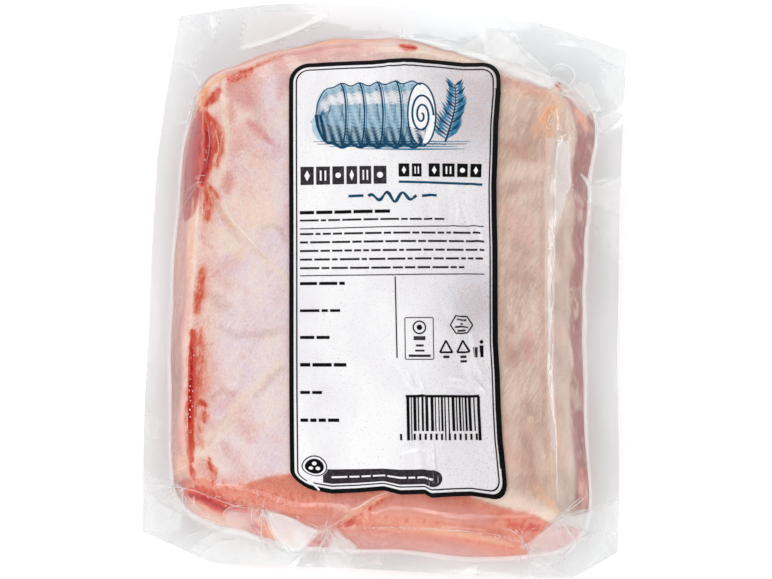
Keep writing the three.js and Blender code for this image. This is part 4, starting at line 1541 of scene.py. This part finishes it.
# %% Bar block
BARS_LEFT, BARS_RIGHT = 3.5, 31.1
BARS_TOP, BARS_FOOT, LONG_BARS_FOOT = -46.1, -58.7, -62.1
LONG_BARS = (0, 1, 10, 11)
bar(black, BARS_LEFT, BARS_RIGHT, -46.0, 0.9)
bar_u, guard = BARS_LEFT + 0.2, 0
while bar_u < BARS_RIGHT - 0.3:
    width = print_draw.choice((0.4, 0.5, 0.8, 1.1))
    long = guard in LONG_BARS or bar_u > BARS_RIGHT - 1.6
    foot = LONG_BARS_FOOT if long else BARS_FOOT
    ribbon(black, [(bar_u + width / 2, BARS_TOP), (bar_u + width / 2 + 0.1, foot)], width)
    bar_u += width + print_draw.choice((0.5, 0.6, 0.9))
    guard += 1
for number in range(12):
    u = BARS_LEFT + 2.6 + number * 2.02 + (0.9 if number > 5 else 0)
    bar(black, u + 0.1, u + 0.9, -60.8, 2.3)
bar(black, 1.2, 2.0, -60.9, 2.3)
print("bar block:", guard, "bars")

# %% Band and badge
BAND_LEFT, BAND_RIGHT, BAND_V, BAND_HEIGHT = -27.2, 13.2, -76.3, 6.3
BADGE_U, BADGE_V = -30.3, -72.3
bar(charcoal, BAND_LEFT, BAND_RIGHT, BAND_V, BAND_HEIGHT)
disc(charcoal, BAND_RIGHT, BAND_V, BAND_HEIGHT / 2)
line_of_print(pale, -24.0, 13.0, -76.6, 0.8)
disc(pale, BADGE_U, BADGE_V, 4.9)
ring(black, BADGE_U, BADGE_V, 4.5, 0.45)
disc(black, BADGE_U, BADGE_V, 3.5)
for turn in range(3):
    angle = math.radians(90 + 120 * turn)
    disc(pale_top, BADGE_U + 1.5 * math.cos(angle), BADGE_V + 1.5 * math.sin(angle), 0.85)

# a short pale nick breaks the border at the near left corner
ribbon(pale_top, [(-33.0, -79.9), (-30.4, -81.2), (-28.6, -82.9)], [1.5, 1.0, 0.7])
print(len(black), "black and", len(charcoal), "charcoal ribbons")

# %% [markdown]
# ### The picture
# A rolled, tied joint on a board, with a sprig of rosemary beside it, is drawn as old food
# engravings were: a light tint, contour hatching that gets heavier towards the underside, and
# dark outlines. It is this label's own generic picture.

# %% Picture of a tied joint
JOINT_LEFT, JOINT_RIGHT, JOINT_V, JOINT_HALF = -29.0, 11.0, 61.2, 12.4


def joint_half(u):
    """Half the joint's height along its length: rounded at the left end, waisted by the ties."""
    share = (u - JOINT_LEFT) / (JOINT_RIGHT - JOINT_LEFT)
    end = math.sqrt(max(0, 1 - max(0, 0.22 - share) ** 2 / 0.22**2))
    return JOINT_HALF * end * (1 - 0.05 * math.cos(share * 12 * math.pi))


def draw_joint_tint():
    """A flat tint under the hatching, left off where the light falls along the top."""
    for low, high in ((-1.0, 0.36), (0.74, 1.0)):
        middle = (low + high) / 2
        path = [(u, JOINT_V + middle * joint_half(u)) for u in np.linspace(JOINT_LEFT, JOINT_RIGHT, 60)]
        ribbon(tint, path, [(high - low) * joint_half(u) for u, _ in path])


def draw_joint_hatching():
    """Lines along the joint, thick and dark below, thin where the light falls."""
    for row in np.linspace(-0.97, 0.9, 42):
        shade = 0.2 + 0.36 * max(0.0, -row) ** 1.2 - 0.14 * bump(row, 0.55, 0.2)
        path = []
        for u in np.linspace(JOINT_LEFT, JOINT_RIGHT, 70):
            path.append((u + 2.2 * (1 - row * row), JOINT_V + row * joint_half(u)))
        widths = [
            shade * (0.7 + 0.5 * math.sin(u * 1.9 + row * 7)) * joint_half(u) / JOINT_HALF for u, _ in path
        ]
        ribbon(deep_blue if row < -0.4 else blue, path, np.clip(widths, 0.02, 0.6))


def draw_joint_outline():
    for sign, width in ((1, 0.45), (-1, 1.1)):
        path = [(u, JOINT_V + sign * joint_half(u)) for u in np.linspace(JOINT_LEFT, JOINT_RIGHT, 60)]
        ribbon(deep_blue, path, width)
    for start in (-20, -13, -6, 1):
        reach = 1.03 * joint_half(start)
        turns = np.linspace(-1.5, 1.5, 16)
        path = [(start + 2.4 * math.cos(t), JOINT_V + reach * math.sin(t)) for t in turns]
        ribbon(deep_blue, path, 0.6)
        ribbon(blue, [(u + 0.8, v) for u, v in path], 0.3)


# %% The joint's end, its board and the sprig


def draw_joint_end():
    """The cut end shows the meat rolled up in a spiral."""
    turns = np.linspace(math.pi, 0, 17)
    ribbon(
        pale,
        [(JOINT_RIGHT + 5.0 * math.cos(t), JOINT_V) for t in turns],
        [2 * JOINT_HALF * 0.98 * math.sin(t) + HAIRLINE for t in turns],
    )
    ring_path = [
        (JOINT_RIGHT + 5.2 * math.cos(t), JOINT_V + JOINT_HALF * math.sin(t))
        for t in np.linspace(0, 2 * math.pi, 40)
    ]
    ribbon(deep_blue, ring_path, 0.6)
    spiral = [
        (JOINT_RIGHT + 4.4 * (1 - s) * math.cos(15 * s), JOINT_V + 8.6 * (1 - s) * math.sin(15 * s))
        for s in np.linspace(0, 0.94, 90)
    ]
    ribbon(deep_blue, spiral, 0.75)


def draw_board():
    for row, (start, end) in enumerate(((-30, 29), (-28.5, 27.5), (-24, 24), (-12, 27))):
        v = 50.6 - 1.0 * row
        plank = [(start, v), ((start + end) / 2, v - 0.2), (end, v + 0.1)]
        ribbon(deep_blue if row == 1 else blue, plank, [0.2, 0.7, 0.2])
    for _ in range(26):
        u = print_draw.uniform(-24, 18)
        ribbon(blue, [(u, 49.8), (u + print_draw.uniform(2, 5), 49.4)], 0.35)


def draw_sprig():
    """A rosemary sprig: a bent stem with narrow leaves on both sides."""
    shares = np.linspace(0, 1, 19)
    stem = [(19.6 + 3.6 * math.sin(2.0 * s), 50.4 + 23 * s) for s in shares]
    ribbon(deep_blue, stem, [0.8 - 0.5 * s for s in shares])
    for number, (u, v) in enumerate(stem[1:]):
        for side in (-1, 1):
            length = 7.0 - 0.22 * number + print_draw.uniform(-0.8, 0.8)
            middle = (u + side * length * 0.42, v + length * 0.34)
            tip = (u + side * length * 0.74, v + length * 0.8)
            ribbon(blue if (number + side) % 3 else deep_blue, [(u, v), middle, tip], [0.3, 1.15, 0.15])


# %% Pieces of print
draw_joint_tint()
draw_joint_hatching()
draw_joint_outline()
draw_joint_end()
draw_board()
draw_sprig()
print_pieces = {}
for name, layers, slot in (
    ("print_black", [(black, 0.09)], "dark_ink"),
    ("print_charcoal", [(charcoal, 0.05)], "dark_ink"),
    ("print_tint", [(tint, 0.03)], "blue_ink"),
    ("print_blue", [(blue, 0.05)], "blue_ink"),
    ("print_deep_blue", [(deep_blue, 0.09)], "blue_ink"),
    ("print_pale", [(pale, 0.07), (pale_top, 0.12)], "label_paper"),
):
    print_pieces[name] = print_piece(name, layers, slot)

# %% [markdown]
# ## Finishes
# Every colour is given as an sRGB hex value and turned to linear light once. Patterns are sized
# from real millimetres: a noise texture with scale s has features about 1/s metres across.

# %% Node helpers


def colour(hex_value):
    parts = [int(hex_value[i : i + 2], 16) / 255 for i in (1, 3, 5)]
    return tuple(p / 12.92 if p <= 0.04045 else ((p + 0.055) / 1.055) ** 2.4 for p in parts) + (1.0,)


def per_metre(size_mm):
    """The texture scale that gives features of a size in millimetres."""
    return 1000 / size_mm


def add(tree, kind, settings=None, inputs=None):
    """Adds a node. An input that is a socket is linked, and any other is set as a value."""
    made = tree.nodes.new(kind)
    for name, value in (settings or {}).items():
        setattr(made, name, value)
    for name, value in (inputs or {}).items():
        if isinstance(value, bpy.types.NodeSocket):
            tree.links.new(value, made.inputs[name])
        else:
            made.inputs[name].default_value = value
    return made


# %% Starting and mixing a finish


def new_finish(name):
    material = bpy.data.materials.new(name)
    material.use_nodes = True
    tree = material.node_tree
    tree.nodes.clear()
    output = add(tree, "ShaderNodeOutputMaterial")
    place = add(tree, "ShaderNodeTexCoord").outputs["Object"]
    return material, tree, output, place


def blend_colour(tree, share, under, over):
    return add(
        tree, "ShaderNodeMix", {"data_type": "RGBA"}, {0: share, 6: under, 7: over}
    ).outputs[2]


def grain(tree, place, size_mm, stretch=(1, 1, 1), turn=0.0, detail=3, low=0.35, high=0.65, fray=0.5):
    """A noise pattern of a given size, stretched, then turned, with its contrast raised."""
    mapped = add(
        tree, "ShaderNodeMapping", {"vector_type": "TEXTURE"},
        {"Vector": place, "Rotation": (0, 0, turn), "Scale": stretch},
    )
    noise = add(
        tree, "ShaderNodeTexNoise", {},
        {"Vector": mapped.outputs[0], "Scale": per_metre(size_mm), "Detail": detail, "Roughness": fray},
    )
    return add(
        tree, "ShaderNodeMapRange", {"clamp": True},
        {"Value": noise.outputs[0], "From Min": low, "From Max": high},
    ).outputs[0]


def mark_of(tree, name):
    return add(tree, "ShaderNodeAttribute", {"attribute_name": name}).outputs["Fac"]


# %% Seeping marks


def seep(tree, surface, mark, pattern, edge, core):
    """Paints a mark that starts pale at its soft edge and gets deep towards its middle."""
    streaky = add(tree, "ShaderNodeMath", {"operation": "MULTIPLY_ADD"}, {0: pattern, 1: 0.75, 2: -0.36})
    amount = add(
        tree, "ShaderNodeMath", {"operation": "MULTIPLY_ADD", "use_clamp": True},
        {0: streaky.outputs[0], 1: mark, 2: mark},
    ).outputs[0]
    thin = add(
        tree, "ShaderNodeMapRange", {"clamp": True}, {"Value": amount, "From Max": 0.55, "To Max": 0.9}
    )
    deep = add(
        tree, "ShaderNodeMapRange", {"clamp": True, "interpolation_type": "SMOOTHSTEP"},
        {"Value": amount, "From Min": 0.35, "From Max": 0.85},
    )
    surface = blend_colour(tree, thin.outputs[0], surface, edge)
    return blend_colour(tree, deep.outputs[0], surface, core)


print("half-way sRGB grey in linear light:", round(colour("#808080")[0], 3))

# %% [markdown]
# ### Raw pork
# Raw pork is wet muscle and fat. Light goes a few millimetres in, which softens its shadows and
# warms them, so the shader has some subsurface. Its colour starts from lilac silverskin, and
# each mark paints its own tissue over it with its own grain: long streaks in the back fat,
# short fibres in the lean, and blurred veins in the silverskin.

# %% Colours of skin, fat and lean


def swayed(tree, straight):
    """Bends the places a pattern is read at, so that no streak in the meat runs straight."""
    sway = add(tree, "ShaderNodeTexNoise", {}, {"Vector": straight, "Scale": per_metre(40), "Detail": 0})
    return add(
        tree, "ShaderNodeVectorMath", {"operation": "MULTIPLY_ADD"},
        {0: sway.outputs["Color"], 1: (0.008, 0.008, 0.008), 2: straight},
    ).outputs[0]


def skin_colours(tree, place, spots, mottle):
    """Silverskin, and the rosier skin where meat shows: clouds 12 mm wide, sinew 0.8 mm."""
    clouds = grain(tree, place, 12, (1, 1.7, 1), -0.6, 6, 0.43, 0.58, 0.6)
    sinew = grain(tree, place, 0.8, (1, 6, 1), -0.5, 4, 0.5, 0.76)
    silver = blend_colour(tree, clouds, colour("#e3cfdb"), colour("#f3e1d8"))
    silver = blend_colour(tree, spots, silver, colour("#e4c6c5"))
    silver = blend_colour(tree, mottle, silver, colour("#ecd9da"))
    silver = blend_colour(tree, sinew, silver, colour("#f0e2e0"))
    rosy = blend_colour(tree, clouds, colour("#e2aca1"), colour("#f2d2c3"))
    rosy = blend_colour(tree, spots, rosy, colour("#dea59b"))
    rosy = blend_colour(tree, mottle, rosy, colour("#edc9be"))
    return silver, rosy


def fat_colours(tree, place, blotches):
    """Back fat and fat at its edge: streaks 1.7 and 0.8 mm wide in patches, and fine hatching."""
    streaks = grain(tree, place, 1.7, (1, 9, 1), -0.12, 4, 0.45, 0.75, 0.6)
    pale_streaks = grain(tree, place, 0.8, (1, 14, 1), -0.42, 3, 0.52, 0.76, 0.55)
    patches = grain(tree, place, 12, (1, 1.5, 1), 0.2, 5, 0.42, 0.64, 0.6)
    hatching = grain(tree, place, 0.5, (1, 13, 1), -0.5, 2, 0.46, 0.78)
    fat = blend_colour(tree, patches, colour("#dec5b5"), colour("#bf9f94"))
    fat = blend_colour(tree, blotches, fat, colour("#dcc3b1"))
    fat = blend_colour(tree, streaks, fat, colour("#c4a398"))
    fat = blend_colour(tree, pale_streaks, fat, colour("#e0cec2"))
    fat = blend_colour(tree, hatching, fat, colour("#bfa293"))
    edge_fat = blend_colour(tree, patches, colour("#cbb6aa"), colour("#b79f95"))
    edge_fat = blend_colour(tree, blotches, edge_fat, colour("#c9a79c"))
    return fat, edge_fat


def lean_colours(tree, place, spots, mottle, blotches):
    """Lean: bundles 3 mm across, of fibres drawn 0.8 mm wide, coarser than real so they show."""
    bundles = grain(tree, place, 3.0, (1, 3.0, 3.0), 0.12, 5, 0.38, 0.66, 0.6)
    fibres = grain(tree, place, 0.8, (1, 5, 5), 0.12, 4, 0.3, 0.7, 0.65)
    muscle = blend_colour(tree, bundles, colour("#da806a"), colour("#c45f4c"))
    muscle = blend_colour(tree, spots, muscle, colour("#e39a80"))
    muscle = blend_colour(tree, fibres, muscle, colour("#d68570"))
    dark = blend_colour(tree, spots, colour("#a0625f"), colour("#6f3d40"))
    dark = blend_colour(tree, mottle, dark, colour("#94595a"))
    dark = blend_colour(tree, blotches, dark, colour("#a5706c"))
    wall_meat = blend_colour(tree, bundles, colour("#bd4444"), colour("#a83434"))
    return muscle, dark, wall_meat


# %% Raw pork finish


def raw_pork():
    material, tree, output, straight = new_finish("raw_pork")
    place = swayed(tree, straight)
    # Spots 5 mm wide, blotches 5.5, mottle and stains 1.6, and grit 0.6.
    spots = grain(tree, place, 5, (1, 1.4, 1), 0.5, 5, 0.5, 0.66, 0.6)
    blotches = grain(tree, place, 5.5, (1, 1.8, 1), -0.4, 5, 0.5, 0.68, 0.6)
    mottle = grain(tree, place, 1.6, (1, 1, 1), 0, 3, 0.3, 0.7)
    stains = grain(tree, place, 1.6, (1, 2.6, 2.6), -0.1, 5, 0.32, 0.68, 0.6)
    grit = grain(tree, place, 0.6, (1, 1.6, 1.6), -0.3, 4, 0.28, 0.72, 0.7)
    surface, rosy = skin_colours(tree, place, spots, mottle)
    fat, edge_fat = fat_colours(tree, place, blotches)
    muscle, dark, wall_meat = lean_colours(tree, place, spots, mottle, blotches)
    for mark, tissue, strength in (
        ("peach", rosy, 1.0),
        ("back_fat", fat, 1.0),
        ("shoulder", edge_fat, 0.85),
        # painted shade in folds, together with tan-brown patches of the tissue
        ("shade", colour("#bd8d7a"), 0.62),
        ("blush", colour("#d6837b"), 0.8),
        ("cream", colour("#f2dccb"), 0.8),
        ("lean", muscle, 1.0),
        ("pale_lean", colour("#cf9e9b"), 0.9),
        ("rose", wall_meat, 1.0),
        ("mauve", dark, 0.95),
    ):
        share = add(
            tree, "ShaderNodeMath", {"operation": "MULTIPLY"}, {0: mark_of(tree, mark), 1: strength}
        )
        surface = blend_colour(tree, share.outputs[0], surface, tissue)
    surface = seep(tree, surface, mark_of(tree, "orange"), stains, colour("#ebb896"), colour("#e6986c"))
    surface = seep(tree, surface, mark_of(tree, "red"), stains, colour("#e2917b"), colour("#cd4d38"))
    surface = seep(tree, surface, mark_of(tree, "blood"), mottle, colour("#cb3a2a"), colour("#ac120a"))
    graininess = add(
        tree, "ShaderNodeMath", {"operation": "MULTIPLY_ADD"},
        {0: mark_of(tree, "back_fat"), 1: -0.19, 2: 0.3},
    )
    surface = add(
        tree, "ShaderNodeMix", {"data_type": "RGBA", "blend_type": "OVERLAY"},
        {0: graininess.outputs[0], 6: surface, 7: grit},
    ).outputs[2]
    wetness = add(tree, "ShaderNodeMapRange", {}, {"Value": mottle, "To Min": 0.32, "To Max": 0.5})
    relief = add(
        tree, "ShaderNodeBump", {}, {"Height": mottle, "Distance": 0.0001, "Strength": 0.3}
    )
    shader = add(
        tree, "ShaderNodeBsdfPrincipled", {},
        {
            "Base Color": surface, "Roughness": wetness.outputs[0], "Normal": relief.outputs[0],
            "Subsurface Weight": 0.2, "Subsurface Radius": (1.0, 0.4, 0.25), "Subsurface Scale": 0.0012,
            "IOR": 1.38, "Specular IOR Level": 0.12,
        },
    )
    tree.links.new(shader.outputs[0], output.inputs[0])
    return material


loin.data.materials.append(raw_pork())
print("finish:", loin.data.materials[0].name)

# %% [markdown]
# ### Vacuum film
# The pouch is a polyamide and polyethylene laminate about 0.1 mm thick: clear, stiff and glossy,
# with a trace of milkiness where two sheets lie together in the rim. The same milky haze is used
# to paint reflections: pale sheen on flat facets, on crease crests, on bubbles and on the blister's
# bead. Film this thin doesn't bend the view, so it is a see-through shader with a gloss on it that
# gets stronger at a glancing angle. The angle is read the same way from both sides, because light
# also meets the film from inside, and a Fresnel node would turn it all back there.

# %% Vacuum film finish


def vacuum_film():
    material, tree, output, place = new_finish("vacuum_film")
    # Scuffs are drawn 1.1 mm wide, coarser than real so that they show. The ripple is 7 mm.
    scuffs = grain(tree, place, 1.1, (1, 7, 1), 0.2, 3, 0.3, 0.7)
    ripple = grain(tree, place, 7, (1, 1, 1), 0, 2, 0.2, 0.8)
    fine = add(tree, "ShaderNodeBump", {}, {"Height": scuffs, "Distance": 0.00006, "Strength": 0.5})
    wavy = add(
        tree, "ShaderNodeBump", {},
        {"Height": ripple, "Distance": 0.0002, "Strength": 0.5, "Normal": fine.outputs[0]},
    )
    clinging = add(
        tree, "ShaderNodeMath", {"operation": "SUBTRACT", "use_clamp": True},
        {0: mark_of(tree, "rim"), 1: mark_of(tree, "painted_sheen")},
    )
    # The rim's grey tone is left out where painted sheen lies, so the painted reflections stay white.
    tone = blend_colour(tree, clinging.outputs[0], colour("#fefefe"), colour("#f5f6f7"))
    clear = add(tree, "ShaderNodeBsdfTransparent", {}, {"Color": tone})
    milk = add(tree, "ShaderNodeBsdfDiffuse", {}, {"Color": colour("#f9fafa"), "Normal": wavy.outputs[0]})
    rim_haze = add(
        tree, "ShaderNodeMapRange", {}, {"Value": mark_of(tree, "rim"), "To Min": 0.004, "To Max": 0.16}
    )
    # Haze is the rim's real milkiness plus the painted sheen, which paints reflections as white haze.
    haze = add(
        tree, "ShaderNodeMath", {"operation": "MULTIPLY_ADD"},
        {0: mark_of(tree, "painted_sheen"), 1: 0.84, 2: rim_haze.outputs[0]},
    )
    body = add(
        tree, "ShaderNodeMixShader", {}, {0: haze.outputs[0], 1: clear.outputs[0], 2: milk.outputs[0]}
    )
    gloss = add(tree, "ShaderNodeBsdfGlossy", {}, {"Roughness": 0.09, "Normal": wavy.outputs[0]})
    facing_away = add(tree, "ShaderNodeLayerWeight", {}, {"Blend": 0.5, "Normal": wavy.outputs[0]})
    rise = add(tree, "ShaderNodeMath", {"operation": "POWER"}, {0: facing_away.outputs["Facing"], 1: 5.0})
    glance = add(
        tree, "ShaderNodeMath", {"operation": "MULTIPLY_ADD"}, {0: rise.outputs[0], 1: 0.35, 2: 0.05}
    )
    mix = add(
        tree, "ShaderNodeMixShader", {}, {0: glance.outputs[0], 1: body.outputs[0], 2: gloss.outputs[0]}
    )
    tree.links.new(mix.outputs[0], output.inputs[0])
    return material


clear_film = vacuum_film()
for piece in (film_front, film_back, film_creases, trapped_bubbles, film_blister):
    piece.data.materials.append(clear_film)
print("finish:", clear_film.name)

# %% [markdown]
# ### Label paper and inks
# The paper is coated and satin, with a faint warm speckle from the cold store, and towards the
# right and the corners it is greyed with painted shade. The inks are matte and a little uneven, as
# they are when a worn roller lays them on.

# %% Paper and ink finishes


def coated_paper():
    material, tree, output, place = new_finish("coated_paper")
    shade_and_speckle = mark_of(tree, "shade_and_speckle")
    # Damp leaves specks under half a millimetre wide, most where the same mark paints shade.
    dots = grain(tree, place, 0.42, (1, 1, 1), 0, 1, 0.0, 1.0)
    reach = add(tree, "ShaderNodeMath", {"operation": "MULTIPLY_ADD"}, {0: shade_and_speckle, 1: 0.14, 2: dots})
    speckle = add(
        tree, "ShaderNodeMapRange", {"clamp": True},
        {"Value": reach.outputs[0], "From Min": 0.66, "From Max": 0.72, "To Max": 0.65},
    )
    cloud = grain(tree, place, 20, (1, 1.5, 1), 0, 3, 0.38, 0.66)
    tone = blend_colour(tree, cloud, colour("#f8f8f9"), colour("#eeecf0"))
    # painted shade: the paper is greyed towards the right and the corners
    tone = blend_colour(tree, shade_and_speckle, tone, colour("#c6c3cc"))
    tone = blend_colour(tree, speckle.outputs[0], tone, colour("#c9a187"))
    fibre = grain(tree, place, 0.9, (1, 1, 1), 0, 3)
    relief = add(tree, "ShaderNodeBump", {}, {"Height": fibre, "Distance": 0.00004, "Strength": 0.4})
    shader = add(
        tree, "ShaderNodeBsdfPrincipled", {},
        {
            "Base Color": tone, "Roughness": 0.3, "Normal": relief.outputs[0],
            "Coat Weight": 0.6, "Coat Roughness": 0.12,
        },
    )
    tree.links.new(shader.outputs[0], output.inputs[0])
    return material


def ink_finish(name, strong, worn, gloss):
    material, tree, output, place = new_finish(name)
    patchy = grain(tree, place, 1.3, (1, 1, 1), 0, 4, 0.45, 0.75)
    tone = blend_colour(tree, patchy, colour(strong), colour(worn))
    shader = add(
        tree, "ShaderNodeBsdfPrincipled", {},
        {"Base Color": tone, "Roughness": gloss, "Specular IOR Level": 0.12},
    )
    tree.links.new(shader.outputs[0], output.inputs[0])
    return material


label.data.materials.append(coated_paper())
for name, strong, worn in (
    ("print_black", "#060507", "#100e10"),
    ("print_charcoal", "#2b272b", "#454045"),
    ("print_tint", "#a9c4d4", "#c3d5e0"),
    ("print_blue", "#2f7396", "#5b93ad"),
    ("print_deep_blue", "#0f3f5c", "#1d5674"),
    ("print_pale", "#f2f1f3", "#e6e5e8"),
):
    print_pieces[name].data.materials.append(ink_finish(name.replace("print", "ink"), strong, worn, 0.5))
print("finishes:", [m.name for m in bpy.data.materials])

# %% [markdown]
# ## The light
# The set is a white tent over a white table that is lit from below as well, so that almost no
# shadow falls on it. The tent is open and dark straight above, where the camera is, so film that
# lies flat turns back nearly nothing and the inks under it stay black. Three key softboxes, the
# strongest on the left, light the meat itself. On a real set they'd be polarised one way and the
# lens the other, which takes their glare off the film. Here they are hidden from glossy rays.
# Low, dim softboxes on all four sides then put pale reflections on the film wherever it slopes,
# and two narrow ones put the strongest on the right shoulder and the near face.

# %% Floor


def make_floor():
    shape = bmesh.new()
    bmesh.ops.create_grid(shape, x_segments=8, y_segments=8, size=1.5)
    mesh = bpy.data.meshes.new("floor")
    shape.to_mesh(mesh)
    shape.free()
    floor = bpy.data.objects.new("floor", mesh)
    bpy.context.scene.collection.objects.link(floor)
    material, tree, output, place = new_finish("white_table")
    tone = blend_colour(tree, grain(tree, place, 60), colour("#fbfbfb"), colour("#f8f8f8"))
    lit = add(tree, "ShaderNodeBsdfDiffuse", {}, {"Color": tone})
    glow = add(tree, "ShaderNodeEmission", {}, {"Color": tone, "Strength": 0.2})
    both = add(tree, "ShaderNodeAddShader", {}, {0: lit.outputs[0], 1: glow.outputs[0]})
    tree.links.new(both.outputs[0], output.inputs[0])
    mesh.materials.append(material)


make_floor()

# %% World


def make_world(sides, overhead):
    world = bpy.data.worlds.new("tent")
    world.use_nodes = True
    tree = world.node_tree
    way = add(tree, "ShaderNodeTexCoord").outputs["Generated"]
    height = add(tree, "ShaderNodeSeparateXYZ", {}, {0: way}).outputs["Z"]
    strength = add(
        tree, "ShaderNodeMapRange", {"interpolation_type": "SMOOTHSTEP"},
        {"Value": height, "From Min": 0.74, "From Max": 0.96, "To Min": sides, "To Max": overhead},
    )
    background = tree.nodes["Background"]
    background.inputs["Color"].default_value = (1, 1, 1, 1)
    tree.links.new(strength.outputs[0], background.inputs["Strength"])
    bpy.context.scene.world = world


make_world(0.66, 0.08)

# %% Softboxes


def softbox(name, place, size, radiance):
    """A panel that faces the pack. Its power is worked out from how bright it should look."""
    data = bpy.data.lights.new(name, "AREA")
    data.shape = "RECTANGLE"
    data.size, data.size_y = size
    data.energy = radiance * math.pi * size[0] * size[1]
    lamp = bpy.data.objects.new(name, data)
    bpy.context.scene.collection.objects.link(lamp)
    lamp.location = place
    lamp.rotation_mode = "QUATERNION"
    lamp.rotation_quaternion = (Vector((0, 0, 0.03)) - Vector(place)).to_track_quat("-Z", "Y")
    return lamp


for lamp in (
    softbox("key_left", (-0.85, 0.05, 1.10), (0.90, 1.00), 2.0),
    softbox("key_right", (0.85, 0.05, 1.10), (0.90, 1.00), 0.9),
    softbox("key_near", (0.00, -1.00, 1.00), (1.00, 0.60), 0.8),
):
    lamp.visible_glossy = False
softbox("softbox_above_far", (0.00, 1.05, 0.95), (1.00, 0.55), 2.2)
softbox("softbox_right", (0.80, 0.10, 0.24), (0.55, 0.26), 1.9)
softbox("strip_right", (0.80, 0.16, 0.24), (0.40, 0.06), 8)
softbox("softbox_left", (-0.80, 0.15, 0.26), (0.55, 0.26), 0.7)
softbox("softbox_near", (-0.10, -0.85, 0.26), (0.70, 0.24), 2.0)
softbox("strip_near", (-0.10, -0.85, 0.26), (0.09, 0.20), 14)
bpy.context.scene.view_settings.view_transform = "Standard"
bpy.context.scene.view_settings.look = "None"
